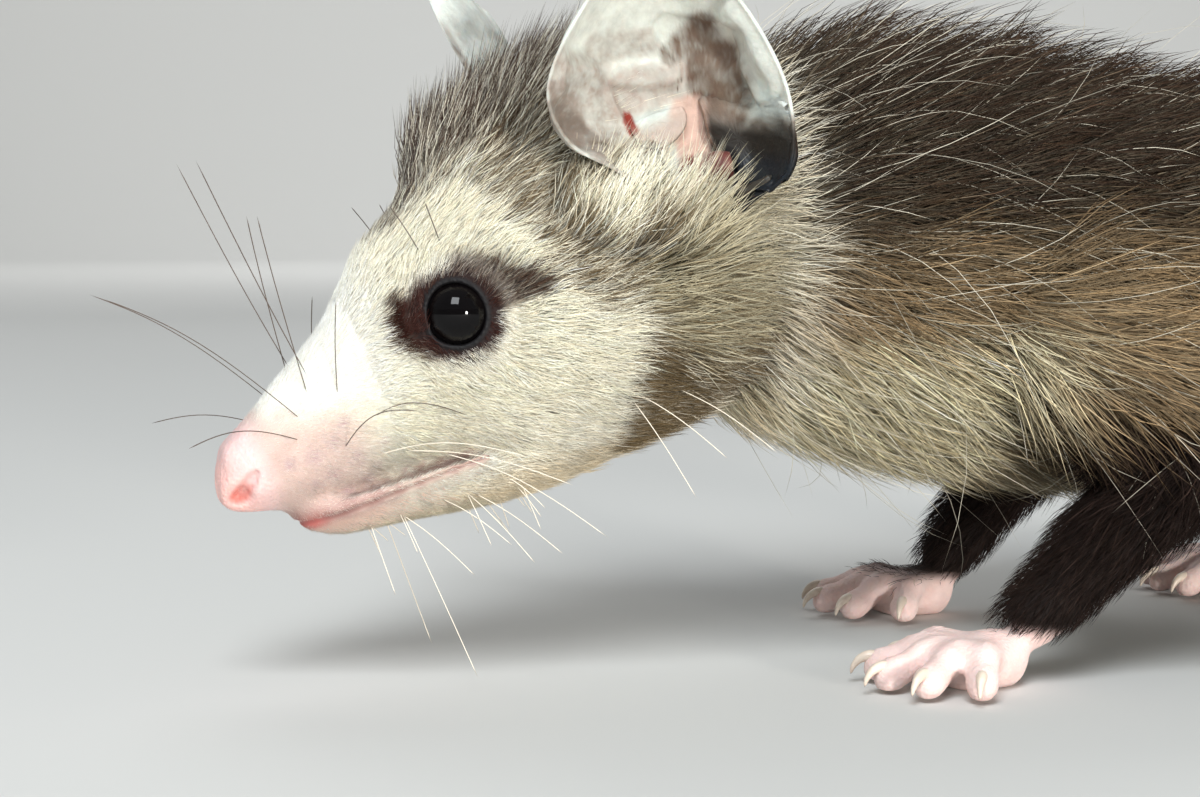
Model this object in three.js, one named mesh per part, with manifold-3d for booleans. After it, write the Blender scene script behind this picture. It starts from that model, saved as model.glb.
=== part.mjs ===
// A young white-eared opossum, life size, standing on four feet with its tail along the floor.
// Millimetres, +Z up. The animal faces -X and its left side is -Y. Flesh and the inner half of the
// coat are smooth forms; the outer half of the long coat is flat, tapered locks rooted in them.
import * as THREE from "three";
import { mergeVertices } from "three/addons/utils/BufferGeometryUtils.js";
import Module from "manifold-3d";

const wasm = await Module();
wasm.setup();

// Driving sizes
const eyeHeight = 38.6; // of the point midway between the eyes, above the floor
const headPitch = 20; // degrees that the palate points below level
const clear = 0.34; // gap kept between touching pieces
const noseSeam = 23.2; // where the bare nose starts, ahead of the eyes
const neckSplit = 47; // the cut between neck and chest
const torsoSplit = 97; // the cut between chest and belly
const tailSplits = [192, 243, 286]; // the cuts along the tail
const eyeball = { ahead: 0.2, out: 8.5, up: 0, radius: 3.7 };
const lids = { radius: 3.3, thick: 0.95, stand: 1.9 };
const lips = { upper: -14.3, lower: -15.5, thick: 0.75 };
const toePad = { height: 1.9, knuckle: 3.9, thick: 1.75, claw: 2.6 };
const bodyLock = { length: 21, width: 13, thick: 2.2, rise: 5.8 };
const crestLock = { length: 11, width: 6, thick: 1.6, rise: 3.8 };
const ruffLock = { length: 12, width: 7.5, thick: 1.6, rise: 3.2 };
const thighLock = { length: 15, width: 10, thick: 1.8, rise: 4 };
const armLock = { length: 12, width: 9, thick: 1.8, rise: 3.4 };
const lockSink = 2.2; // how deep a lock is rooted

// How finely each form is meshed
const mesh = {
  head: { rows: 24, sides: 18 },
  jaw: { rows: 11, sides: 12 },
  lip: { rows: 15, sides: 5 },
  nostril: { rows: 6, sides: 6 },
  trunk: { rows: 20, sides: 16 },
  leg: { rows: 7, sides: 9 },
  palm: { rows: 6, sides: 10 },
  toe: { rows: 6, sides: 6 },
  claw: { rows: 3, sides: 4 },
  tail: { rows: 40, sides: 8 },
  lock: { rows: 4, sides: 4 },
};

const up = new THREE.Vector3(0, 0, 1);
const pitch = THREE.MathUtils.degToRad(headPitch);
const eyes = new THREE.Vector3(0, 0, eyeHeight);
const headForward = new THREE.Vector3(-Math.cos(pitch), 0, -Math.sin(pitch));
const headUp = new THREE.Vector3(-Math.sin(pitch), 0, Math.cos(pitch));
const both = [["left", 1], ["right", -1]];

// A point of the body, from its distance behind the eyes, out to the left and above the floor.
const bodyPoint = (behind, left, above) => new THREE.Vector3(behind, -left, above);

// A point of the head, from its distances ahead of the eyes, out to the left and up.
const headPoint = (ahead, left, above) => eyes.clone()
  .addScaledVector(headForward, ahead)
  .addScaledVector(headUp, above)
  .add(bodyPoint(0, left, 0));

// Pushes every face of a closed geometry out by a distance.
function swell(geometry, distance) {
  const { position } = geometry.attributes;
  const index = geometry.index.array;
  const corner = (i) => new THREE.Vector3().fromBufferAttribute(position, i);
  const faces = [];
  for (let i = 0; i < index.length; i += 3) {
    const [a, b, c] = [0, 1, 2].map((k) => corner(index[i + k]));
    faces.push(b.sub(a).cross(c.sub(a)));
  }
  const faceOf = (i) => faces[Math.floor(i / 3)];
  const normals = Array.from({ length: position.count }, () => new THREE.Vector3());
  index.forEach((v, i) => normals[v].add(faceOf(i)));
  [...normals, ...faces].forEach((n) => n.normalize());
  const leastLean = new Array(position.count).fill(1);
  index.forEach((v, i) => {
    leastLean[v] = Math.min(leastLean[v], normals[v].dot(faceOf(i)));
  });
  normals.forEach((n, v) => {
    const moved = corner(v).addScaledVector(n, distance / Math.max(leastLean[v], 0.4));
    position.setXYZ(v, moved.x, moved.y, moved.z);
  });
}

// The solid inside a closed geometry, swollen by a distance if one is given.
function solidOf(geometry, grow = 0) {
  const bare = geometry.clone();
  bare.deleteAttribute("normal");
  bare.deleteAttribute("uv");
  const merged = mergeVertices(bare, 1e-4);
  const index = merged.index.array;
  const build = () => new wasm.Manifold(new wasm.Mesh({
    numProp: 3,
    vertProperties: merged.attributes.position.array,
    triVerts: new Uint32Array(index),
  }));
  if (build().volume() < 0) {
    for (let i = 0; i < index.length; i += 3) {
      [index[i + 1], index[i + 2]] = [index[i + 2], index[i + 1]];
    }
  }
  if (grow) swell(merged, grow);
  return build();
}

const joined = (solids) => solids.reduce((whole, next) => whole.add(next));

function largest(solid) {
  const pieces = solid.decompose();
  return pieces.reduce((best, piece) => (piece.volume() > best.volume() ? piece : best));
}

function boxSolid(low, high) {
  const size = high.map((v, i) => v - low[i]);
  const middle = high.map((v, i) => (v + low[i]) / 2);
  return solidOf(new THREE.BoxGeometry(...size).translate(...middle));
}

// All of the body between two distances behind the eyes
const slice = (from, to) => boxSolid([from, -100, -50], [to, 100, 200]);
const aboveFloor = boxSolid([-100, -100, 0], [400, 100, 200]);

// A form is a smooth curve of sections. Each section has its middle, its reach above, below and to
// each side, and the direction of its top.
const section = (at, above, below, half, top = up) => ({ at, above, below, half, top });
const round = (at, radius, top) => section(at, radius, radius, radius, top);

function makeForm(sections) {
  const smooth = (points) => new THREE.CatmullRomCurve3(points, false, "catmullrom", 0.5);
  const middle = smooth(sections.map((s) => s.at));
  const reach = smooth(sections.map((s) => new THREE.Vector3(s.above, s.below, s.half)));
  const last = sections.length - 1;
  const frame = (t) => {
    const along = middle.getTangent(t);
    const k = Math.min(Math.floor(t * last), last - 1);
    const top = sections[k].top.clone().lerp(sections[k + 1].top, t * last - k);
    top.addScaledVector(along, -top.dot(along)).normalize();
    return { along, top, left: new THREE.Vector3().crossVectors(along, top).normalize() };
  };
  // Angle 0 is the top and a quarter turn on is one side.
  const point = (t, angle) => {
    const { top, left } = frame(t);
    const r = reach.getPoint(t);
    const rise = Math.cos(angle) * (Math.cos(angle) > 0 ? r.x : r.y);
    return middle.getPoint(t).addScaledVector(top, rise).addScaledVector(left, Math.sin(angle) * r.z);
  };
  const outward = (t, angle) => {
    const step = 0.01;
    const ahead = point(Math.min(t + step, 1), angle).sub(point(Math.max(t - step, 0), angle));
    const normal = ahead.cross(point(t, angle + step).sub(point(t, angle - step))).normalize();
    return normal.dot(point(t, angle).sub(middle.getPoint(t))) < 0 ? normal.negate() : normal;
  };
  return { middle, frame, point, outward };
}

// The closed solid of a form: a sphere's rows become its sections, and its poles the two ends.
function formSolid(form, { rows, sides }, grow = 0) {
  const ball = new THREE.SphereGeometry(1, sides, rows);
  const { position, uv } = ball.attributes;
  for (let i = 0; i < position.count; i++) {
    const row = Math.round((1 - uv.getY(i)) * rows);
    const column = Math.round(uv.getX(i) * sides) % sides;
    const angle = (column / sides) * 2 * Math.PI;
    const atEnd = row === 0 || row === rows;
    const place = atEnd ? form.middle.getPoint(row / rows) : form.point(row / rows, angle);
    position.setXYZ(i, place.x, place.y, place.z);
  }
  return solidOf(ball, grow);
}

// A run of round sections, each given as behind, left, above and radius
const limbForm = (points, side = 1) =>
  makeForm(points.map(([behind, left, above, r]) => round(bodyPoint(behind, side * left, above), r)));

// The place along a form where a measure that grows along it reaches a value
function placeAlong(form, measure, value) {
  let low = 0;
  let high = 1;
  for (let i = 0; i < 24; i++) {
    const t = (low + high) / 2;
    if (measure(form.middle.getPoint(t)) < value) low = t;
    else high = t;
  }
  return low;
}

// One flat lock. It is rooted below the surface, rises and bends over to lie along the coat.
function lockSolid({ root, out, lie, length, width, thick, rise, curl }, grow = 0) {
  const side = new THREE.Vector3().crossVectors(lie, out).normalize();
  const past = (1.5 * grow) / length;
  const stations = [[-past, 0.5], [0.3, 1], [0.66, 0.8], [1 + past, 0.12]];
  const sections = stations.map(([s, taper]) => {
    const height = (lockSink + rise) * Math.sin(s * Math.PI * 0.5) - lockSink;
    const at = root.clone()
      .addScaledVector(lie, length * s)
      .addScaledVector(out, height)
      .addScaledVector(side, curl * s * s);
    const thin = (thick / 2) * taper + 1.1 * grow;
    return section(at, thin, thin, (width / 2) * taper + 1.3 * grow, out);
  });
  return formSolid(makeForm(sections), mesh.lock);
}
const locksSolid = (locks, grow = 0) => joined(locks.map((lock) => lockSolid(lock, grow)));

// A seeded random number, so that every build gives the same locks.
function seeded(seed) {
  let state = seed;
  return () => {
    state = (state * 1664525 + 1013904223) % 4294967296;
    return state / 4294967296;
  };
}

// Locks at the given angles of each row along a form, the lie given as a direction at each root.
function lockRows({ form, rows, angles, size, seed, lieOf, shareOf = () => 1 }) {
  const random = seeded(seed);
  const vary = () => 0.86 + 0.28 * random();
  return rows.flatMap((t, row) => angles(t, row).map((angle) => {
    const out = form.outward(t, angle);
    const lie = lieOf(form.frame(t), angle).addScaledVector(up, 0.08 * (random() - 0.5));
    lie.addScaledVector(out, -lie.dot(out)).normalize();
    const share = shareOf(angle);
    return {
      root: form.point(t, angle),
      out,
      lie,
      length: size.length * share * vary(),
      width: size.width * vary(),
      thick: size.thick,
      rise: size.rise * share * vary(),
      curl: 2.4 * (random() - 0.5),
    };
  }));
}

// Head and jaw: sections from the back of the skull to the nose
const headShape = [
  { ahead: -37, level: -1, above: 4, below: 4, half: 5 },
  { ahead: -34.5, level: -0.5, above: 12, below: 11.5, half: 12 },
  { ahead: -28, level: -0.5, above: 17.5, below: 18.2, half: 16.4 },
  { ahead: -20, level: -1, above: 19.6, below: 20, half: 17.4 },
  { ahead: -12, level: -2.4, above: 19.8, below: 19.5, half: 16.4 },
  { ahead: -5, level: -4, above: 18.4, below: 18, half: 13.8 },
  { ahead: 0.5, level: -5, above: 15.8, below: 15.4, half: 11.8 },
  { ahead: 5, level: -6.2, above: 13.7, below: 9.4, half: 10.1 },
  { ahead: 10, level: -7.2, above: 11.2, below: 7.4, half: 8.5 },
  { ahead: 15, level: -7.8, above: 8.9, below: 6.7, half: 7.1 },
  { ahead: 19.5, level: -8.4, above: 6.9, below: 5.8, half: 5.6 },
  { ahead: 23.6, level: -8.7, above: 5, below: 4.4, half: 4.5 },
  { ahead: 26.5, level: -8.8, above: 3.4, below: 3.2, half: 3.5 },
  { ahead: 28, level: -8.5, above: 1.6, below: 1.6, half: 1.8 },
];
const jawShape = [
  { ahead: -9, level: -18, above: 1, below: 3, half: 6 },
  { ahead: -4, level: -17, above: 3, below: 4.8, half: 9.2 },
  { ahead: 3, level: -16.3, above: 3, below: 4.8, half: 8.2 },
  { ahead: 10, level: -15.8, above: 2.6, below: 3.8, half: 6.5 },
  { ahead: 16, level: -15.4, above: 2.2, below: 2.8, half: 5 },
  { ahead: 20, level: -15, above: 1.5, below: 1.9, half: 3.2 },
  { ahead: 21.4, level: -14.9, above: 0.5, below: 0.7, half: 1.2 },
];
const headSection = (s) => section(headPoint(s.ahead, 0, s.level), s.above, s.below, s.half, headUp);
const headForm = makeForm(headShape.map(headSection));
const jawForm = makeForm(jawShape.map(headSection));
const headGrown = formSolid(headForm, mesh.head, clear);
const jawGrown = formSolid(jawForm, mesh.jaw, clear);

// The crest on the crown, and the ruff behind the cheek and under the ear
const headRow = (ahead) => placeAlong(headForm, (p) => p.clone().sub(eyes).dot(headForward), ahead);
const crestLocks = lockRows({
  form: headForm,
  rows: [-6, -14, -22].map(headRow),
  angles: (t, row) => (row % 2 ? [-1.5, -0.5, 0.5, 1.5] : [-1, 0, 1]).map((k) => k * 0.34),
  size: crestLock,
  seed: 21,
  lieOf: ({ along }) => along.clone().negate(),
});
const ruffLocks = lockRows({
  form: headForm,
  rows: [-17, -25].map(headRow),
  angles: () => [1.8, 2.2, 2.6, 3, -1.8, -2.2, -2.6, -3],
  size: ruffLock,
  seed: 33,
  lieOf: ({ along }) => along.clone().negate().addScaledVector(up, -0.3),
});
const headLocks = [...crestLocks, ...ruffLocks];

// Eyes, and the lids that ring them
const eyeCentre = (side) => headPoint(eyeball.ahead, side * eyeball.out, eyeball.up);
const gaze = (side) => headPoint(0.3, side * 0.94, 0.12).sub(eyes).normalize();
function eyeSolid(side, grow = 0) {
  const { x, y, z } = eyeCentre(side);
  return solidOf(new THREE.SphereGeometry(eyeball.radius + grow, 14, 9).translate(x, y, z));
}
function lidSolid(side) {
  const ring = new THREE.TorusGeometry(lids.radius, lids.thick, 5, 14).scale(1.06, 0.96, 1);
  ring.applyQuaternion(new THREE.Quaternion().setFromUnitVectors(up, gaze(side)));
  const { x, y, z } = eyeCentre(side).addScaledVector(gaze(side), lids.stand);
  return solidOf(ring.translate(x, y, z));
}

// Lips: a soft ridge round the mouth, from one corner past the front to the other
function lipSolid(level, inset, thick) {
  const leftSide = [[1, 10.4], [6, 9.4], [11, 7.9], [15.5, 6.4], [19, 4.4], [21, 1.6]];
  const rightSide = leftSide.map(([ahead, out]) => [ahead, -out]).reverse();
  const sections = [...leftSide, ...rightSide].map(([ahead, out]) =>
    round(headPoint(ahead, out - Math.sign(out) * inset, level), thick, headUp));
  return formSolid(makeForm(sections), mesh.lip);
}

// The nose starts at a plane across the snout, and has a comma of nostril on each side.
function beyondSeam(grow) {
  const { x, y, z } = headPoint(noseSeam, 0, 0);
  const block = new THREE.BoxGeometry(40, 60, 90).translate(grow - 20, 0, 0).rotateY(-pitch);
  return solidOf(block.translate(x, y, z));
}
function nostrilSolid(side) {
  const comma = [
    [27.2, 0.9, -9.4, 0.5], [26.5, 1.9, -9.6, 0.95], [25.2, 3.2, -9.2, 0.7], [24.4, 4.4, -8.4, 0.4],
  ];
  const sections = comma.map(([ahead, left, above, r]) =>
    round(headPoint(ahead, side * left, above), r, headUp));
  return formSolid(makeForm(sections), mesh.nostril);
}

// Ear: a thin cup whose rim runs from the brow over the top to the notch below
const earRim = [
  { ahead: -17.6, out: 17.2, up: 8.6 },
  { ahead: -13.2, out: 19.6, up: 13 },
  { ahead: -12.4, out: 21.6, up: 18.5 },
  { ahead: -17.1, out: 23, up: 24 },
  { ahead: -23.6, out: 23.4, up: 27.6 },
  { ahead: -29.8, out: 23.6, up: 25.7 },
  { ahead: -33.2, out: 24, up: 18.8 },
  { ahead: -34.3, out: 24.4, up: 10.4 },
  { ahead: -32.4, out: 23.6, up: 3.5 },
  { ahead: -28.8, out: 20.8, up: 1.4 },
  { ahead: -25.2, out: 17.6, up: 0 },
  { ahead: -22, out: 17, up: 3.8 },
];
const earCup = { ahead: -24, out: 12.8, up: 7, thick: 0.9, around: 22, deep: 5 };
// The right ear is pricked: turned about its root to face forward, flatter and a little higher.
const pricked = { ahead: -21.5, out: 14.5, turn: 66, flat: 0.45, lean: 0.16, back: 0.4, inward: 1.5,
  lift: 4, rise: 2, tall: 26 };
const prickedTurn = THREE.MathUtils.degToRad(pricked.turn);
function earPlace(side, { x, y, z }) {
  if (side > 0) return new THREE.Vector3(x, y, z);
  const ahead = x - pricked.ahead;
  const out = (y - pricked.out) * pricked.flat;
  const [c, s] = [Math.cos(prickedTurn), Math.sin(prickedTurn)];
  return new THREE.Vector3(
    pricked.ahead + ahead * c + out * s + pricked.lean * z - pricked.back,
    pricked.out - ahead * s + out * c - pricked.inward,
    z + pricked.lift + pricked.rise * THREE.MathUtils.smoothstep(z, 0, pricked.tall));
}
function earSolid(side, grow = 0) {
  const rim = new THREE.CatmullRomCurve3(
    earRim.map((p) => new THREE.Vector3(p.ahead, p.out, p.up)), true, "catmullrom", 0.5);
  // The middle of the shell, from the cup's floor at depth 0 to its rim at 1
  const shell = (around, depth) => {
    const edge = rim.getPoint(around);
    const quarter = (depth * Math.PI) / 2;
    const spread = Math.sin(quarter) ** 0.85;
    const height = 1 - Math.cos(quarter) ** 1.15;
    return earPlace(side, {
      x: THREE.MathUtils.lerp(earCup.ahead, edge.x, spread),
      y: THREE.MathUtils.lerp(earCup.out, edge.y, height),
      z: THREE.MathUtils.lerp(earCup.up, edge.z, spread),
    });
  };
  const inwards = side > 0 ? new THREE.Vector3(0, -1, 0)
    : new THREE.Vector3(-Math.sin(prickedTurn), -Math.cos(prickedTurn), 0);
  const intoHead = (around, depth) => {
    if (depth === 0) return inwards.clone();
    const step = 0.004;
    const across = shell((around + step) % 1, depth).sub(shell((around + 1 - step) % 1, depth));
    const inward = shell(around, Math.min(depth + step, 1)).sub(shell(around, depth - step));
    const normal = across.cross(inward).normalize();
    return normal.dot(inwards) < 0 ? normal.negate() : normal;
  };
  const pastRim = (around) => shell(around, 1).sub(shell(around, 0.96)).normalize();
  // A sphere's rows run down the back of the shell, round its rim and back along its hollow face.
  const half = earCup.thick / 2 + grow;
  const rows = earCup.deep * 2 + 1;
  const ball = new THREE.SphereGeometry(1, earCup.around, rows);
  const { position, uv } = ball.attributes;
  for (let i = 0; i < position.count; i++) {
    const row = Math.round((1 - uv.getY(i)) * rows);
    const around = uv.getX(i) % 1;
    const hollow = row > earCup.deep;
    const depth = (hollow ? rows - row : row) / earCup.deep;
    const p = shell(around, depth).addScaledVector(intoHead(around, depth), hollow ? -half : half);
    if (depth === 1) p.addScaledVector(pastRim(around), 1.3 * grow);
    const place = headPoint(p.x, side * p.y, p.z);
    position.setXYZ(i, place.x, place.y, place.z);
  }
  return solidOf(ball);
}

// Neck and torso: one form from inside the skull to the root of the tail
const trunkShape = [
  { behind: 20, z: 46, above: 13, below: 11, half: 11 },
  { behind: 28, z: 45, above: 20, below: 17, half: 16 },
  { behind: 40, z: 43, above: 24.5, below: 21, half: 19.5 },
  { behind: 55, z: 41, above: 25.6, below: 23, half: 22 },
  { behind: 72, z: 39, above: 24.6, below: 23, half: 23.5 },
  { behind: 92, z: 38, above: 25.4, below: 22.5, half: 25 },
  { behind: 112, z: 38.5, above: 26, below: 21.5, half: 25.5 },
  { behind: 129, z: 38.5, above: 23.5, below: 18, half: 22.5 },
  { behind: 142, z: 39, above: 17, below: 13, half: 16 },
  { behind: 150.5, z: 39.5, above: 10, below: 8, half: 9.5 },
  { behind: 154.5, z: 39.5, above: 4, below: 4, half: 4 },
];
const trunkForm = makeForm(
  trunkShape.map((s) => section(bodyPoint(s.behind, 0, s.z), s.above, s.below, s.half)));
const trunkCore = formSolid(trunkForm, mesh.trunk);
const trunkGrown = formSolid(trunkForm, mesh.trunk, clear);

// Rings of locks round the trunk, each a given distance apart, shorter under the belly.
function trunkLocks(rowsAt, { apart, seed, share = 1, lowest = -1 }) {
  return lockRows({
    form: trunkForm,
    rows: rowsAt.map((behind) => placeAlong(trunkForm, (p) => p.x, behind)),
    angles: (t, row) => {
      const girth = 2 * Math.PI * trunkForm.point(t, 1.2).distanceTo(trunkForm.middle.getPoint(t));
      const count = Math.round(girth / apart);
      const ring = Array.from({ length: count }, (_, i) => ((i + (row % 2) / 2) / count) * 2 * Math.PI);
      return ring.filter((angle) => Math.cos(angle) >= lowest);
    },
    size: bodyLock,
    seed,
    lieOf: ({ along }, angle) => along.clone().addScaledVector(up, -0.28 * Math.abs(Math.sin(angle))),
    shareOf: (angle) => share * (Math.cos(angle) < -0.6 ? 0.55 : 0.8 + 0.2 * Math.cos(angle)),
  });
}
const neckLocks = trunkLocks([40], { apart: 12.5, seed: 3, share: 0.8, lowest: -0.3 });
const chestLocks = trunkLocks([58, 71, 84], { apart: 13.6, seed: 5 });
const bellyLocks = trunkLocks([105, 118, 131, 144], { apart: 13.6, seed: 9 });

// Legs: each point is behind the eyes, out to the side, above the floor, and the radius there.
const foreLeg = {
  upper: [[58, 13, 40, 9], [66, 18.5, 33, 9], [73, 21.5, 27, 7.8], [77, 22.2, 24, 5]],
  lower: [
    [79, 21.8, 25.5, 3.4], [75.5, 22, 23, 6.4], [66, 21.6, 14.5, 5.2], [58.5, 21.2, 7.5, 4],
    [56, 21, 5.6, 3.2],
  ],
  foot: { behind: 53, left: 21, turn: 6 },
};
const hindLeg = {
  upper: [[132, 11, 41, 13], [123, 18, 35, 13.5], [114, 23.5, 28.5, 10.5], [108, 25, 25, 6]],
  lower: [
    [106, 24.6, 27, 4], [110, 25, 24, 8.2], [119, 24, 16.5, 6.4], [128, 23, 8.6, 4.6],
    [130, 22.8, 6, 3.4],
  ],
  foot: { behind: 126, left: 22.6, turn: 9 },
};
const hipHeight = 40;

// How far behind the left leg each right leg stands, at the hip or shoulder and at the foot
const stride = { fore: { hip: 4, foot: 12.5 }, hind: { hip: -2, foot: -9.5 } };
function placedLeg(leg, side, { hip, foot }) {
  const shift = (above) => (side > 0 ? 0 : THREE.MathUtils.lerp(foot, hip, above / hipHeight));
  const moved = (points) =>
    points.map(([behind, left, above, r]) => [behind + shift(above), left, above, r]);
  return {
    side,
    upper: limbForm(moved(leg.upper), side),
    lower: limbForm(moved(leg.lower), side),
    foot: { ...leg.foot, behind: leg.foot.behind + shift(0) },
  };
}
const legs = both.flatMap(([where, side]) => [
  { name: { upper: `upper_arm_${where}`, lower: `forearm_${where}`, foot: `forefoot_${where}` },
    fore: true, ...placedLeg(foreLeg, side, stride.fore) },
  { name: { upper: `thigh_${where}`, lower: `shin_${where}`, foot: `hindfoot_${where}` },
    fore: false, ...placedLeg(hindLeg, side, stride.hind) },
]);

// Locks on the outer face of a thigh or upper arm, lying down and back. A thigh runs forward, so its
// outer face is on the other hand of its form.
function legLocks({ upper, side, fore }) {
  return lockRows({
    form: upper,
    rows: fore ? [0.5, 0.72] : [0.46, 0.7],
    angles: (t, row) => (fore ? [1.3] : [[-0.7, -1.9], [-1.3, -2.4]][row]).map((angle) => side * angle),
    size: fore ? armLock : thighLock,
    seed: fore ? 41 : 43,
    lieOf: ({ along }) => along.clone().add(bodyPoint(0.9, 0, -0.2)),
  });
}

// A foot: a palm, and toes that fan out from it, each with a knuckle, a pad and a claw
const footPoint = ({ behind, left, turn }, side, angle) => {
  const turned = THREE.MathUtils.degToRad(turn + angle);
  return (far, above) =>
    [behind - Math.cos(turned) * far, side * (left + Math.sin(turned) * far), above];
};
function toeSolid(foot, side, { angle, length, root, clawed = true, thick = toePad.thick }) {
  const place = footPoint(foot, side, angle);
  const end = root + length;
  const flesh = formSolid(limbForm([
    [...place(root - 3.4, 3), 1],
    [...place(root - 2, 3.3), thick],
    [...place(root + length * 0.36, toePad.knuckle), thick * 0.98],
    [...place(root + length * 0.7, 2.7), thick * 0.92],
    [...place(end, toePad.height), thick * 1.02],
    [...place(end + thick * 0.8, toePad.height + 0.1), thick * 0.5],
  ]), mesh.toe);
  if (!clawed) return flesh;
  const claw = limbForm([
    [...place(end - 0.4, toePad.height + 1), 0.5],
    [...place(end + 0.6, toePad.height + 1), 0.62],
    [...place(end + 2.1, toePad.height + 0.5), 0.42],
    [...place(end + toePad.claw, 1), 0.16],
  ]);
  return flesh.add(formSolid(claw, mesh.claw));
}
const foreFoot = {
  palm: { back: 2.4, front: 6, half: 5, high: 3 },
  toes: [[-58, 5.6], [-26, 7.6], [0, 8.2], [25, 7.8], [52, 6.2]]
    .map(([angle, length]) => ({ angle, length, root: 4.2 })),
};
const hindFoot = {
  palm: { back: 5.5, front: 9.5, half: 5.2, high: 3.4 },
  toes: [
    ...[[-22, 7.2], [-4, 7.8], [14, 7.6], [33, 6.4]]
      .map(([angle, length]) => ({ angle, length, root: 8.2 })),
    { angle: -98, length: 6, root: 3.6, clawed: false, thick: 2 },
  ],
};
function footSolid({ foot, side, fore }) {
  const { palm, toes } = fore ? foreFoot : hindFoot;
  const place = footPoint(foot, side, 0);
  const across = (far, level, above, below, half) =>
    section(bodyPoint(...place(far, level)), above, below, half);
  const palmForm = makeForm([
    across(-palm.back - 1.5, 2.6, 1.4, 1.4, 1.6),
    across(-palm.back, 2.8, palm.high * 0.9, 3.1, palm.half * 0.62),
    across(0, 2.8, palm.high, 3.1, palm.half * 0.9),
    across(palm.front * 0.6, 2.6, palm.high * 0.72, 2.9, palm.half),
    across(palm.front, 2.4, palm.high * 0.4, 2, palm.half * 0.7),
    across(palm.front + 1.4, 2.4, 0.8, 0.8, palm.half * 0.3),
  ]);
  const flesh = toes.map((toe) => toeSolid(foot, side, toe));
  return joined([formSolid(palmForm, mesh.palm), ...flesh]).intersect(aboveFloor);
}

// Tail: behind, left, above and radius, from the rump down to the floor and back along it
const tailForm = limbForm([
  [144, 0, 41, 8], [151, 0, 38.5, 7.2], [160, 0, 32, 6], [170, -0.6, 23.5, 5.1],
  [180, -2, 14.5, 4.5], [192, -5, 6.8, 4.1], [206, -9, 3.6, 3.8], [224, -14.5, 3.2, 3.4],
  [243, -17, 2.9, 3.1], [262, -13.5, 2.6, 2.8], [279, -5.5, 2.3, 2.5], [293, 4.5, 2, 2.2],
  [303, 15, 1.7, 1.9], [307, 25, 1.3, 1.5], [305, 31, 1, 1.1],
]);

// Nodes: each is cut clear of the pieces that it meets, and a lock of any that it would cross.
const coat = {
  dark: new THREE.MeshStandardMaterial({ color: 0x4a3d34, roughness: 0.9 }),
  pale: new THREE.MeshStandardMaterial({ color: 0xe3dac0, roughness: 0.9 }),
};
const skin = {
  pink: new THREE.MeshStandardMaterial({ color: 0xe8c8bf, roughness: 0.6 }),
  ear: new THREE.MeshStandardMaterial({ color: 0xcfc4b8, roughness: 0.55 }),
  tail: new THREE.MeshStandardMaterial({ color: 0xb9a79c, roughness: 0.7 }),
};
const wetEye = new THREE.MeshStandardMaterial({ color: 0x0a0a0c, roughness: 0.05 });
const nodes = [];
const addNode = (name, solid, material) => nodes.push({ name, solid: largest(solid), material });
const cut = (solid, ...others) => solid.subtract(joined(others));
const ofBoth = (make) => joined(both.map(([, side]) => make(side)));

// Head, with its nose, jaw, ears and eyes
const earsGrown = ofBoth((side) => earSolid(side, clear));
const bareHead = joined([
  formSolid(headForm, mesh.head),
  ofBoth(lidSolid),
  lipSolid(lips.upper, 0, lips.thick),
]);
const headCoat = cut(locksSolid(headLocks), earsGrown);
const furredHead = cut(bareHead, beyondSeam(clear)).add(headCoat);
addNode("head", cut(furredHead, ofBoth((side) => eyeSolid(side, clear))), coat.pale);
addNode("nose", cut(bareHead.intersect(beyondSeam(0)), ofBoth(nostrilSolid)), skin.pink);
const jaw = formSolid(jawForm, mesh.jaw).add(lipSolid(lips.lower, 1.2, lips.thick * 0.8));
addNode("jaw", cut(jaw, headGrown, lipSolid(lips.upper, 0, lips.thick + clear)), skin.pink);
for (const [where, side] of both) {
  addNode(`ear_${where}`, cut(earSolid(side), headGrown), skin.ear);
  addNode(`eye_${where}`, eyeSolid(side), wetEye);
}

// Neck, chest and belly
const legGrown = (form) => formSolid(form, mesh.leg, clear);
const legsGrown = joined(legs.flatMap(({ upper, lower }) => [legGrown(upper), legGrown(lower)]));
const tailGrown = formSolid(tailForm, mesh.tail, clear);
const furredHeadGrown = headGrown.add(locksSolid(headLocks, clear));
const trunkStart = trunkShape[0].behind;
const trunkEnd = trunkShape.at(-1).behind;
const neck = trunkCore.intersect(slice(trunkStart, neckSplit)).add(locksSolid(neckLocks));
const chestStart = trunkGrown.intersect(slice(neckSplit, trunkEnd));
addNode("neck", cut(neck, furredHeadGrown, jawGrown, earsGrown, chestStart), coat.dark);
const chest = trunkCore.intersect(slice(neckSplit + clear, torsoSplit))
  .add(cut(locksSolid(chestLocks), legsGrown));
const neckGrown = trunkGrown.intersect(slice(trunkStart, neckSplit + clear))
  .add(locksSolid(neckLocks, clear));
const bellyStart = trunkGrown.intersect(slice(torsoSplit, trunkEnd));
addNode("chest", cut(chest, neckGrown, bellyStart), coat.dark);
const belly = trunkCore.intersect(slice(torsoSplit + clear, trunkEnd + 1))
  .add(cut(locksSolid(bellyLocks), legsGrown, tailGrown));
const chestGrown = trunkGrown.intersect(slice(neckSplit, torsoSplit + clear))
  .add(locksSolid(chestLocks, clear));
addNode("belly", cut(belly, chestGrown), coat.dark);

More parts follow.
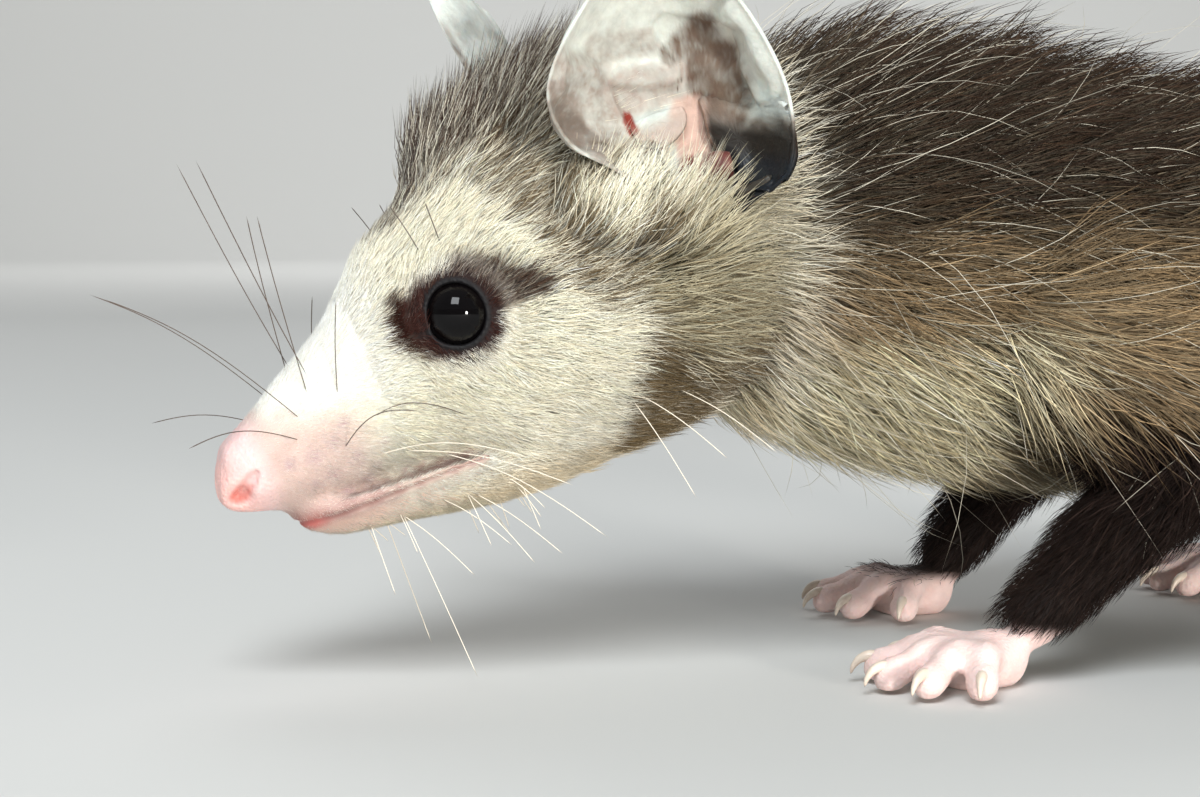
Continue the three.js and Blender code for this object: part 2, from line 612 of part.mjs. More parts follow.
// Legs and feet
const furredTrunkGrown = trunkGrown.add(locksSolid([...chestLocks, ...bellyLocks], clear));
for (const leg of legs) {
  const locks = legLocks(leg);
  const upper = cut(formSolid(leg.upper, mesh.leg), trunkGrown)
    .add(cut(locksSolid(locks), furredTrunkGrown));
  addNode(leg.name.upper, upper, coat.dark);
  const furredUpperGrown = legGrown(leg.upper).add(locksSolid(locks, clear));
  const lower = formSolid(leg.lower, mesh.leg).intersect(aboveFloor);
  addNode(leg.name.lower, cut(lower, furredUpperGrown, trunkGrown), coat.dark);
  addNode(leg.name.foot, cut(footSolid(leg), legGrown(leg.lower)), skin.pink);
}

// Tail, in lengths
const tail = cut(formSolid(tailForm, mesh.tail).intersect(aboveFloor), trunkGrown);
[trunkEnd - 20, ...tailSplits].forEach((from, i) => {
  const to = tailSplits[i] ?? 400;
  addNode(`tail_${i + 1}`, tail.intersect(slice(from + (i ? clear : 0), to)), skin.tail);
});

// The box that holds every piece has its bottom centre at the origin.
const opossum = new THREE.Group();
function geometryOf(solid) {
  const { numVert, numProp, vertProperties, triVerts } = solid.getMesh();
  const corners = new Float32Array(numVert * 3);
  for (let i = 0; i < numVert; i++) {
    corners.set(vertProperties.subarray(i * numProp, i * numProp + 3), i * 3);
  }
  return new THREE.BufferGeometry()
    .setAttribute("position", new THREE.BufferAttribute(corners, 3))
    .setIndex(new THREE.BufferAttribute(new Uint32Array(triVerts), 1));
}
for (const { name, solid, material } of nodes) {
  const geometry = geometryOf(solid);
  geometry.computeBoundingBox();
  const pivot = geometry.boundingBox.getCenter(new THREE.Vector3());
  geometry.translate(-pivot.x, -pivot.y, -pivot.z);
  const piece = new THREE.Mesh(geometry, material);
  piece.name = name;
  piece.position.copy(pivot);
  opossum.add(piece);
}
const whole = new THREE.Box3().setFromObject(opossum);
opossum.position.set(
  -(whole.min.x + whole.max.x) / 2, -(whole.min.y + whole.max.y) / 2, -whole.min.z);

export default opossum;
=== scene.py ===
# Young white-eared opossum, a life-size standing model.
# Pieces are laid out in millimetres: x behind the eyes, y to the animal's right and z above the
# floor. toScene() turns that into metres in the frame of the solids.
from math import cos, pi, radians, sin
import bmesh
import bpy
import numpy as np
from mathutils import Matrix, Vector, kdtree, noise


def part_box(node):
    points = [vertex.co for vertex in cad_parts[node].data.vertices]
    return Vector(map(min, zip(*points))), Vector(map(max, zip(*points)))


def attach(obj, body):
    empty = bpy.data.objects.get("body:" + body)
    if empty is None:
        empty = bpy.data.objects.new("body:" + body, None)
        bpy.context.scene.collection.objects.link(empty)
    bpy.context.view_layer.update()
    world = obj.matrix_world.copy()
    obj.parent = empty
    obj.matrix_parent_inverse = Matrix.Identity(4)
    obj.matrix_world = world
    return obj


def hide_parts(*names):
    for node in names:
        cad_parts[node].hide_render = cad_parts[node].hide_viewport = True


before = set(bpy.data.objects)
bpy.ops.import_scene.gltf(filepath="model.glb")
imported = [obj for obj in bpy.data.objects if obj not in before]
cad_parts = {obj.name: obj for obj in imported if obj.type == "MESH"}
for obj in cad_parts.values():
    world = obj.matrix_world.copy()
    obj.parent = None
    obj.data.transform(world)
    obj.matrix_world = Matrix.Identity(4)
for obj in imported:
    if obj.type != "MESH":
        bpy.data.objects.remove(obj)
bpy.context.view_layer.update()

headPitch = radians(20)
eyesMiddle = np.array([0, 0, 38.6])
forward = np.array([-cos(headPitch), 0, -sin(headPitch)])
crownward = np.array([-sin(headPitch), 0, cos(headPitch)])
eyeSizes = dict(ahead=0.2, out=8.5, up=0.0, ball=3.7, openLong=2.8, openTall=3.05, lid=0.2)
sides = {"left": 1, "right": -1}


def bodyPoint(behind, left, above):
    return np.stack(np.broadcast_arrays(behind, -np.asarray(left, float), above), -1).astype(float)


def headPoint(ahead, left, up):
    ahead, left, up = (np.asarray(v, float)[..., None] for v in (ahead, left, up))
    return eyesMiddle + ahead * forward + up * crownward - left * np.array([0, 1, 0])


def headPlace(points):  # ahead of the eyes, out to the left, up from them
    fromEyes = points - eyesMiddle
    return fromEyes @ forward, -points[..., 1], fromEyes @ crownward


# where the solids put the left eye gives the move from this layout to the scene
eyeLow, eyeHigh = (np.array(corner) * 1000 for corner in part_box("eye_left"))
toOrigin = (eyeLow + eyeHigh) / 2 - headPoint(eyeSizes["ahead"], eyeSizes["out"], eyeSizes["up"])


def toScene(points):
    return (np.asarray(points) + toOrigin) / 1000


def smoothStep(low, high, value):
    t = np.clip((value - low) / (high - low), 0, 1)
    return t * t * (3 - 2 * t)


def unit(vectors):
    return vectors / np.maximum(np.linalg.norm(vectors, axis=-1, keepdims=True), 1e-9)


def linear(rgb):  # sRGB numbers from 0 to 255 as linear light
    c = np.asarray(rgb, float) / 255
    return np.where(c < 0.04045, c / 12.92, ((c + 0.055) / 1.055) ** 2.4)


def blend(a, b, share):
    return a + (b - a) * np.asarray(share)[..., None]


def blendNumber(a, b, share):
    return a + (b - a) * share


def curveBetween(before, a, b, after, w):  # the smooth curve from a at 0 to b at 1
    start, end = (b - before) / 2, (after - a) / 2
    bend = (2 * a - 2 * b + start + end) * w**3
    return bend + (3 * b - 3 * a - 2 * start - end) * w**2 + start * w + a


def runThrough(points, t):  # a smooth curve through points, t from 0 to 1
    p = np.asarray(points, float)
    p = np.vstack([2 * p[0] - p[1], p, 2 * p[-1] - p[-2]])
    at = np.clip(np.asarray(t, float) * (len(p) - 3), 0, len(p) - 3 - 1e-9)
    k = at.astype(int)
    return curveBetween(p[k], p[k + 1], p[k + 2], p[k + 3], (at - k)[:, None])


def closedRun(points, t):  # a smooth closed curve, t from 0 to 1 round it
    p = np.asarray(points, float)
    at = (np.asarray(t, float) % 1) * len(p)
    corners = (p[(at.astype(int) + step) % len(p)] for step in (-1, 0, 1, 2))
    return curveBetween(*corners, (at - np.floor(at))[..., None])


def ringFaces(count, around):  # faces of a closed form: a first point, rings and a last point
    k = np.arange(around)
    pairs = list(zip(k.tolist(), ((k + 1) % around).tolist()))
    faces = [(0, 1 + b, 1 + a) for a, b in pairs]
    for row in range(count - 1):
        base = 1 + row * around
        faces += [(base + a, base + b, base + around + b, base + around + a) for a, b in pairs]
    base = 1 + (count - 1) * around
    return faces + [(base + a, base + b, base + around) for a, b in pairs]


# a closed form over sections, each a middle, its reach above, below and aside, and its top direction
def loft(sections, rows, around):
    sections = np.array(sections, float)
    t = np.linspace(0, 1, rows + 1)
    middle = runThrough(sections[:, :3], t)
    reach = np.maximum(runThrough(sections[:, 3:6], t), 0.05)
    top = runThrough(sections[:, 6:9], t)
    along = unit(np.gradient(middle, axis=0))
    top = unit(top - along * (top * along).sum(1, keepdims=True))
    aside = np.cross(along, top)
    angle = np.linspace(0, 2 * pi, around, endpoint=False)
    rise = np.where(np.cos(angle) > 0, reach[:, :1], reach[:, 1:2]) * np.cos(angle)
    ring = middle[:, None] + top[:, None] * rise[..., None]
    ring = ring + aside[:, None] * (reach[:, 2:3] * np.sin(angle))[..., None]
    points = np.vstack([middle[:1], ring[1:-1].reshape(-1, 3), middle[-1:]])
    return points, ringFaces(rows - 1, around)


def roundRun(points, rows, around, top=(0, 1, 0)):  # a tube through places with a radius each
    return loft([[*p[:3], p[3], p[3], p[3], *top] for p in points], rows, around)


def joinParts(parts):
    points, faces, start = [], [], 0
    for p, f in parts:
        points.append(p)
        faces += [tuple(i + start for i in face) for face in f]
        start += len(p)
    return np.vstack(points), faces


def addPiece(mesh, material=None):
    mesh.polygons.foreach_set("use_smooth", np.ones(len(mesh.polygons), bool))
    if material:
        mesh.materials.append(material)
    piece = bpy.data.objects.new(mesh.name, mesh)
    bpy.context.scene.collection.objects.link(piece)
    return piece


def makeObject(name, points, faces, material=None):
    mesh = bpy.data.meshes.new(name)
    mesh.from_pydata(toScene(points).tolist(), [], faces)
    mesh.update()
    return addPiece(mesh, material)


def treeOf(points):  # finds the nearest of many points
    tree = kdtree.KDTree(len(points))
    for i, p in enumerate(points):
        tree.insert(p, i)
    tree.balance()
    return tree


def numbersOf(items, field, width, kind=np.float32):
    flat = np.empty(len(items) * width, kind)
    items.foreach_get(field, flat)
    return flat.reshape(-1, width) if width > 1 else flat


def pointsOf(mesh):
    return numbersOf(mesh.vertices, "co", 3).astype(float) * 1000 - toOrigin


def movePoints(mesh, points):
    mesh.vertices.foreach_set("co", toScene(points).astype(np.float32).ravel())
    mesh.update()


def normalsOf(mesh):
    return numbersOf(mesh.vertex_normals, "vector", 3).astype(float)


def setColour(mesh, name, colours):
    layer = mesh.color_attributes.new(name, "FLOAT_COLOR", "POINT")
    rgba = np.ones((len(colours), 4), np.float32)
    rgba[:, :3] = colours
    layer.data.foreach_set("color", rgba.ravel())


def setNumber(mesh, name, values):
    layer = mesh.attributes.new(name, "FLOAT", "POINT")
    layer.data.foreach_set("value", np.asarray(values, np.float32))


# Camera, floor and light
view = dict(turn=18, down=4.5, distance=230, lens=69, right=14, low=8.6)
studio = dict(
    floor=(0.60, 0.60, 0.58), floorRough=0.9, flat=2.4, bend=1.2, world=0.28, sky=(0.93, 0.97, 1.0),
)
lampTable = [  # name, place and target from the head, width and height, power, colour
    ("keyPanel", (-375, -775, 900), (0, 0, 0), (500, 700), 16.5, (0.93, 0.97, 1)),
    ("sidePanel", (283, -1215, 85), (0, 0, 0), (160, 160), 13.5, (1, 0.97, 0.92)),
    ("rimPanel", (150, 950, 1050), (0, 0, 0), (1000, 750), 5.0, (1, 1, 1)),
    ("backPanel", (700, 1508, 1261.4), (900, 3008, 461.4), (1200, 800), 26.0, (1, 1, 1)),
]


def turnTo(thing, look):
    thing.rotation_euler = Vector(look).to_track_quat("-Z", "Y").to_euler()
    bpy.context.scene.collection.objects.link(thing)


def addCamera():
    turn, down = radians(view["turn"]), radians(view["down"])
    look = np.array([sin(turn) * cos(down), cos(turn) * cos(down), -sin(down)])
    right = np.array([cos(turn), -sin(turn), 0])
    aim = headPoint(0, eyeSizes["out"], 0) + view["right"] * right - view["low"] * np.cross(right, look)
    lens = bpy.data.cameras.new("photoCamera")
    lens.lens = view["lens"]
    lens.clip_start = 0.01
    camera = bpy.data.objects.new("photoCamera", lens)
    camera.location = toScene(aim - view["distance"] * look)
    turnTo(camera, look)
    bpy.context.scene.camera = camera


def addFloor():  # a wide dish that curves up on every side, in metres
    flat, bend = studio["flat"], studio["bend"]
    run = [(flat / 4, 0), (flat, 0)]
    run += [(flat + bend * sin(a), bend - bend * cos(a)) for a in np.linspace(0.1, 1.35, 14)]
    sheet = bmesh.new()
    rings = []
    for radius, height in run:
        turns = np.linspace(0, 2 * pi, 64, endpoint=False)
        rings.append([sheet.verts.new((radius * cos(a), radius * sin(a), height)) for a in turns])
    sheet.faces.new(rings[0])
    for inner, outer in zip(rings, rings[1:]):
        for k in range(len(inner)):
            sheet.faces.new((inner[k - 1], outer[k - 1], outer[k], inner[k]))
    mesh = bpy.data.meshes.new("floor")
    sheet.to_mesh(mesh)
    sheet.free()
    paper = bpy.data.materials.new("palePaper")
    paper.use_nodes = True
    shader = paper.node_tree.nodes["Principled BSDF"]
    shader.inputs["Base Color"].default_value = (*studio["floor"], 1)
    shader.inputs["Roughness"].default_value = studio["floorRough"]
    floor = addPiece(mesh, paper)


def addLights():
    world = bpy.data.worlds.new("studio")
    world.use_nodes = True
    background = world.node_tree.nodes["Background"]
    background.inputs["Color"].default_value = (*studio["sky"], 1)
    background.inputs["Strength"].default_value = studio["world"]
    bpy.context.scene.world = world
    head = headPoint(0, 8, 0)
    for name, place, target, size, power, colour in lampTable:
        lamp = bpy.data.lights.new(name, "AREA")
        lamp.shape = "RECTANGLE"
        lamp.size, lamp.size_y = size[0] / 1000, size[1] / 1000
        lamp.energy = power
        lamp.color = colour
        holder = bpy.data.objects.new(name, lamp)
        holder.location = toScene(head + place)
        turnTo(holder, Vector(toScene(head + target)) - holder.location)


addCamera()
addFloor()
addLights()
bpy.context.scene.view_settings.view_transform = "Standard"
print("stage set")

# The skin's forms, as in the solids but lower by the depth of the lying coat
headShape = [  # ahead, level, above, below, half, coat depth
    (-37, -1, 4, 4, 5, 1.5), (-34.5, -0.5, 12, 11.5, 12, 3), (-28, -0.5, 17.5, 18.2, 16.4, 2.6),
    (-20, -1, 19.6, 20, 17.4, 2.2), (-12, -2.4, 19.8, 19.5, 16.4, 1.9), (-5, -4, 18.4, 18, 13.8, 1.4),
    (0.5, -5, 15.8, 15.4, 11.8, 1.0), (5, -6.2, 13.7, 9.4, 10.1, 0.8), (10, -7.2, 11.2, 7.4, 8.5, 0.6),
    (15, -7.8, 8.9, 6.7, 7.1, 0.4), (19.5, -8.4, 6.9, 5.8, 5.6, 0.2), (23.6, -8.7, 5, 4.4, 4.5, 0.05),
    (26.5, -8.8, 3.4, 3.2, 3.5, 0), (28, -8.5, 1.6, 1.6, 1.8, 0),
]
jawShape = [
    (-9, -18, 1, 3, 6, 0.4), (-4, -17, 3, 4.8, 9.2, 1.0), (3, -16.3, 3, 4.8, 8.2, 0.7),
    (10, -15.8, 2.6, 3.8, 6.5, 0.4), (16, -15.4, 2.2, 2.8, 5, 0.2), (20, -15, 1.5, 1.9, 3.2, 0.1),
    (21.4, -14.9, 0.5, 0.7, 1.2, 0),
]
lipRun = [(1, 10.2), (6, 9.1), (11, 7.6), (15.5, 6.1), (19, 4.2), (21, 1.6)]
trunkShape = [  # behind, z, above, below, half, coat depth
    (20, 46, 13, 11, 11, 2), (28, 45, 20, 17, 16, 3), (40, 43, 24.5, 21, 19.5, 3.4),
    (55, 41, 25.6, 23, 22, 3.6), (72, 39, 24.6, 23, 23.5, 3.6), (92, 38, 25.4, 22.5, 25, 3.6),
    (112, 38.5, 26, 21.5, 25.5, 3.6), (129, 38.5, 23.5, 18, 22.5, 3.2), (142, 39, 17, 13, 16, 2.6),
    (150.5, 39.5, 10, 8, 9.5, 1.6), (154.5, 39.5, 4, 4, 4, 0.8),
]
foreLeg = dict(
    upper=[(58, 13, 40, 7.4), (66, 18.5, 33, 7.2), (73, 21.5, 27, 6.4), (77, 22.2, 24, 4)],
    lower=[(79, 21.8, 25.5, 2.6), (75.5, 22, 23, 5.2), (66, 21.6, 14.5, 4.1), (58.5, 21.2, 7.5, 3.3),
           (56, 21, 5.6, 2.8)],
    foot=dict(behind=53, left=21, turn=6), hip=4, step=12.5,
    palm=dict(back=2.4, front=6, half=5, high=3),
    toes=[(-58, 5.6, 4.2), (-26, 7.6, 4.2), (0, 8.2, 4.2), (25, 7.8, 4.2), (52, 6.2, 4.2)],
)
hindLeg = dict(
    upper=[(132, 11, 41, 11), (123, 18, 35, 11.5), (114, 23.5, 28.5, 8.8), (108, 25, 25, 5)],
    lower=[(106, 24.6, 27, 3.2), (110, 25, 24, 6.8), (119, 24, 16.5, 5.1), (128, 23, 8.6, 3.8),
           (130, 22.8, 6, 3)],
    foot=dict(behind=126, left=22.6, turn=9), hip=-2, step=-9.5,
    palm=dict(back=5.5, front=9.5, half=5.2, high=3.4),
    toes=[(-22, 7.2, 8.2), (-4, 7.8, 8.2), (14, 7.6, 8.2), (33, 6.4, 8.2), (-98, 6, 3.6)],
)
toeSizes = dict(thick=1.78, thumb=2.0, knuckle=3.9, pad=1.9)
tailRun = [
    (144, 0, 41, 8), (151, 0, 38.5, 7.2), (160, 0, 32, 6), (170, -0.6, 23.5, 5.1), (180, -2, 14.5, 4.5),
    (192, -5, 6.8, 4.1), (206, -9, 3.6, 3.8), (224, -14.5, 3.2, 3.4), (243, -17, 2.9, 3.1),
    (262, -13.5, 2.6, 2.8), (279, -5.5, 2.3, 2.5), (293, 4.5, 2, 2.2), (303, 15, 1.7, 1.9),
    (307, 25, 1.3, 1.5), (305, 31, 1, 1.1),
]


def headSections(shape):
    sections = []
    for ahead, level, above, below, half, depth in shape:
        reach = (above - depth, below - depth, half - depth)
        sections.append([*headPoint(ahead, 0, level), *reach, *crownward])
    return sections


def placedLeg(leg, side):  # a right leg stands further on or back than the left one
    def moved(points):
        placed = []
        for behind, left, above, r in points:
            shift = 0 if side > 0 else leg["step"] + (leg["hip"] - leg["step"]) * above / 40
            placed.append([*bodyPoint(behind + shift, side * left, above), r])
        return placed
    foot = dict(leg["foot"])
    foot["behind"] += 0 if side > 0 else leg["step"]
    return moved(leg["upper"]), moved(leg["lower"]), foot


def footPlace(foot, side, angle, far, above):
    turned = radians(foot["turn"] + angle)
    behind, left = foot["behind"] - cos(turned) * far, foot["left"] + sin(turned) * far
    return bodyPoint(behind, side * left, above)


def toeParts(foot, side, angle, length, root, thick):
    end = root + length
    knuckle, pad = toeSizes["knuckle"], toeSizes["pad"]
    run = [
        (root - 3.4, 3, 1), (root - 2, 3.3, thick), (root + length * 0.36, knuckle, thick * 0.98),
        (root + length * 0.7, 2.7, thick * 0.9), (end, pad, thick * 1.05),
        (end + thick * 0.8, pad + 0.1, thick * 0.5),
    ]
    return [[*footPlace(foot, side, angle, far, above), r] for far, above, r in run]


def footParts(leg, foot, side):
    palm = leg["palm"]
    half, high = palm["half"], palm["high"]
    rows = [
        (-palm["back"] - 1.5, 2.6, 1.4, 1.4, 1.6), (-palm["back"], 2.8, high * 0.9, 3.1, half * 0.62),
        (0, 2.8, high, 3.1, half * 0.9), (palm["front"] * 0.6, 2.6, high * 0.72, 2.9, half),
        (palm["front"], 2.4, high * 0.4, 2, half * 0.7),
        (palm["front"] + 1.4, 2.4, 0.8, 0.8, half * 0.3),
    ]
    sections = [[*footPlace(foot, side, 0, far, level), *reach, 0, 0, 1] for far, level, *reach in rows]
    parts = [loft(sections, 16, 24)]
    for angle, length, root in leg["toes"]:
        thick = toeSizes["thumb"] if angle < -90 else toeSizes["thick"]
        parts.append(roundRun(toeParts(foot, side, angle, length, root, thick), 20, 14, (0, 0, 1)))
    return parts


def skinParts():
    parts = [loft(headSections(headShape), 90, 72), loft(headSections(jawShape), 40, 40)]
    for level, inset, thick in ((-14.3, 0, 0.75), (-15.5, 1.2, 0.62)):
        run = lipRun + [(ahead, -out) for ahead, out in reversed(lipRun)]
        places = [[*headPoint(a, o - np.sign(o) * inset, level), thick] for a, o in run]
        parts.append(roundRun(places, 60, 10, crownward))
    trunk = []
    for behind, z, above, below, half, depth in trunkShape:
        trunk.append([behind, 0, z, above - depth, below - depth, half - depth, 0, 0, 1])
    parts.append(loft(trunk, 80, 64))
    for side in sides.values():
        for leg in (foreLeg, hindLeg):
            upper, lower, foot = placedLeg(leg, side)
            parts += [roundRun(upper, 24, 28), roundRun(lower, 28, 26), *footParts(leg, foot, side)]
    tail = [[*bodyPoint(b, left, z), r] for b, left, z, r in tailRun]
    parts.append(roundRun(tail, 150, 28, (0.7, 0, 0.7)))
    return parts


def evened(points, edges, rounds, share):  # eases each point towards its neighbours
    a, b = edges.T
    size = len(points)
    count = np.bincount(a, minlength=size) + np.bincount(b, minlength=size)
    for _ in range(rounds):
        total = [np.bincount(a, part[b], size) + np.bincount(b, part[a], size) for part in points.T]
        points = points + 0.5 * share[:, None] * (np.stack(total, 1) / count[:, None] - points)
    return points


def refine(mesh, wanted):  # splits the faces whose points are all wanted
    near = wanted(pointsOf(mesh))
    build = bmesh.new()
    build.from_mesh(mesh)
    edges = [e for e in build.edges if near[e.verts[0].index] and near[e.verts[1].index]]
    bmesh.ops.subdivide_edges(build, edges=edges, cuts=1, use_grid_fill=True)
    build.to_mesh(mesh)
    build.free()


def eyeFrame(side):
    centre = headPoint(eyeSizes["ahead"], side * eyeSizes["out"], eyeSizes["up"])
    gaze = unit(headPoint(0.3, side * 0.94, 0.12) - eyesMiddle)
    fore = unit(forward - gaze * (forward @ gaze))
    rise = np.cross(gaze, fore) * side
    return centre, gaze, fore, rise if rise[2] > 0 else -rise


def fromEye(f, u):  # 1 on the edge of the eye as seen from the side, more outside
    return np.hypot((f - eyeSizes["ahead"]) / eyeSizes["openLong"], u / eyeSizes["openTall"])


def eyeOpening(points, side):  # 1 on the edge of the lids, more outside, and the depth along the gaze
    centre, gaze, fore, rise = eyeFrame(side)
    offset = points - centre
    a, b, g = offset @ fore, offset @ rise, offset @ gaze
    corner = 1 + 0.10 * np.exp(-((a - 2.2) ** 2 + (b + 1.2) ** 2) / 1.6)
    rho = np.hypot(a / (eyeSizes["openLong"] * corner), b / (eyeSizes["openTall"] * corner))
    return rho, g, a, b


def shapeLids(points, side):
    gaze = eyeFrame(side)[1]
    rho, g, a, b = eyeOpening(points, side)
    edge = np.sqrt(eyeSizes["ball"] ** 2 - eyeSizes["openLong"] * eyeSizes["openTall"])
    ball = np.sqrt(np.maximum(eyeSizes["ball"] ** 2 - a * a - b * b, 0.5))
    height = edge + eyeSizes["lid"] * (0.8 - 0.5 * smoothStep(1.08, 1.4, rho))
    height = blendNumber(ball - 0.7, height, smoothStep(0.95, 1.05, rho))
    height = height - 0.08 * np.exp(-((rho - 1.26) / 0.05) ** 2)
    share = (1 - smoothStep(1.1, 2.5, rho)) * (g > -1.5)
    return points + gaze * ((height - g) * share)[:, None]


mouthLine = [  # ahead and up
    (-2, -14.9), (1, -14.35), (5, -14.45), (9, -14.6), (12, -14.75), (17, -15.15), (23, -15.15),
]
skinBumps = [  # ahead, out, up, their spreads, and how far out
    (17, 5.6, -10.8, 4.5, 3, 2.8, 0.35), (12, 8, -12.4, 5, 3, 1.8, 0.35), (-8, 13, -9, 8, 6, 6, 0.7),
    (-0.5, 9, 5.8, 5, 3.5, 2, 0.6), (7.6, 8.2, -1.6, 3.5, 3, 3, -0.55),
    (25.2, 3.8, -9.8, 1.5, 1.5, 1.6, 0.3), (17, 0, -18, 4, 3, 2, 0.3), (22.6, 3.4, -8, 1.6, 2, 2, -0.2),
    (25.4, 1.4, -5.6, 1.8, 1.6, 1.4, 0.25), (-24.5, 13.5, 8.5, 6, 5, 7.5, -2.2),
]
nostrilRun = [  # ahead, out, up and radius
    (27.1, 1.3, -10.1, 0.6), (26.3, 2.7, -10, 1.05), (25.4, 3.6, -9.2, 0.8), (24.3, 4.4, -8.2, 0.42),
]
skinSizes = dict(
    voxel=0.00062, rounds=10, faceRounds=5, mouthRounds=26,
    mouthDeep=0.34, mouthHalf=0.24, cleftDeep=0.28, cleftHalf=0.3,
)


def nostrilDepth(ahead, out, up):
    run = runThrough(nostrilRun, np.linspace(0, 1, 25))
    depth = np.zeros(len(ahead))
    for a, o, u, r in run:
        near = ((ahead - a) ** 2 + (out - o) ** 2 + (up - u) ** 2) / (r * r)
        depth = np.maximum(depth, r * 1.4 * np.exp(-near**1.5))
    return depth


def mouthAt(ahead):
    places, levels = zip(*mouthLine)
    return np.interp(ahead, places, levels)


def onFace(p):  # the nose, the mouth and round the eyes, where the mesh is finer
    f, left, u = headPlace(p)
    mouth = (f > -1) & (abs(u - mouthAt(f)) < 1.4)
    eye = (np.hypot(f - eyeSizes["ahead"], u) < 6.2) & (abs(left) > 7)
    return (f > 20.5) | mouth | eye


def onDetail(p):  # the tip of the nose and the lids, finer still
    f, left, u = headPlace(p)
    eye = (np.hypot(f - eyeSizes["ahead"], u) < 4.6) & (abs(left) > 7)
    return eye | (f > 22.6) & (u > -12)


def makeSkin():
    skin = makeObject("skin", *joinParts(skinParts()))
    remesh = skin.modifiers.new("even", "REMESH")
    remesh.mode = "VOXEL"
    remesh.voxel_size = skinSizes["voxel"]
    remesh.use_smooth_shade = True
    bpy.context.view_layer.objects.active = skin
    bpy.ops.object.modifier_apply(modifier=remesh.name)
    mesh = skin.data

    points = pointsOf(mesh)
    ahead = headPlace(points)[0]
    feet = (points[:, 2] < 7) & (ahead < -20)
    edges = numbersOf(mesh.edges, "vertices", 2, np.int32)
    share = np.where(feet | (ahead > 18), 0.45, 1.0)
    movePoints(mesh, evened(points, edges, skinSizes["rounds"], share))
    refine(mesh, onFace)
    refine(mesh, onDetail)
    edges = numbersOf(mesh.edges, "vertices", 2, np.int32)
    points = pointsOf(mesh)
    points = evened(points, edges, skinSizes["faceRounds"], onFace(points).astype(float))
    f, left, u = headPlace(points)
    nearMouth = (f > -1) * np.exp(-((u - mouthAt(f)) / 1.8) ** 2)
    points = evened(points, edges, skinSizes["mouthRounds"], nearMouth)
    movePoints(mesh, points)

    f, left, u = headPlace(points)
    out = abs(left)
    push = np.zeros(len(points))
    for a, o, h, ra, ro, rh, amount in skinBumps:
        push += amount * np.exp(-(((f - a) / ra) ** 2 + ((out - o) / ro) ** 2 + ((u - h) / rh) ** 2))
    mouth = np.exp(-((u - mouthAt(f)) / skinSizes["mouthHalf"]) ** 2)
    push -= skinSizes["mouthDeep"] * smoothStep(0, 3, f) * mouth
    cleft = np.exp(-(out / skinSizes["cleftHalf"]) ** 2) * smoothStep(-7.5, -8.4, u)
    push -= skinSizes["cleftDeep"] * smoothStep(26.4, 27.2, f) * cleft
    push -= nostrilDepth(f, out, u)
    points = points + normalsOf(mesh) * push[:, None]
    for side in sides.values():
        near = (points[:, 1] * side < -6) & (abs(f - eyeSizes["ahead"]) < 8) & (abs(u) < 8)
        points[near] = shapeLids(points[near], side)
    points[:, 2] = np.maximum(points[:, 2], 0)
    movePoints(mesh, points)
    return skin


skin = makeSkin()
print("skin", len(skin.data.polygons), "faces")

# The markings, shared by the skin and the coat: each zone has a colour and a soft edge
coatColours = dict(
    # bridgeHighlight: a painted highlight, whiter where light falls on the top of the snout
    cream=(248, 241, 220), creamLow=(246, 239, 221), bridgeHighlight=(250, 247, 236), muzzle=(228, 208, 196),
    eyePatch=(58, 30, 24), eyeStreak=(78, 58, 47), crown=(66, 48, 38), olive=(112, 95, 68),
    ruff=(194, 185, 158), dark=(48, 35, 26), side=(134, 113, 85), chest=(196, 186, 156),
    blackArm=(36, 26, 22), belly=(172, 162, 138), under=(216, 202, 176), guard=(240, 232, 212),
)
tone = {name: linear(rgb) for name, rgb in coatColours.items()}


def capsule(f, u, a, b, radiusA, radiusB):  # 1 at the middle of a tapering band, 0 outside it
    ax, ay = a
    bx, by = b[0] - ax, b[1] - ay
    t = np.clip(((f - ax) * bx + (u - ay) * by) / (bx * bx + by * by), 0, 1)
    gap = np.hypot(f - ax - t * bx, u - ay - t * by)
    radius = radiusA + (radiusB - radiusA) * t
    return 1 - smoothStep(radius * 0.7, radius * 1.25, gap)


def roughly(points, scale, seed=0.0):  # soft noise from -1 to 1 at each point
    places = np.asarray(points) * scale + [seed, 0, 0]
    return np.array([noise.noise(Vector(place)) for place in places.tolist()])


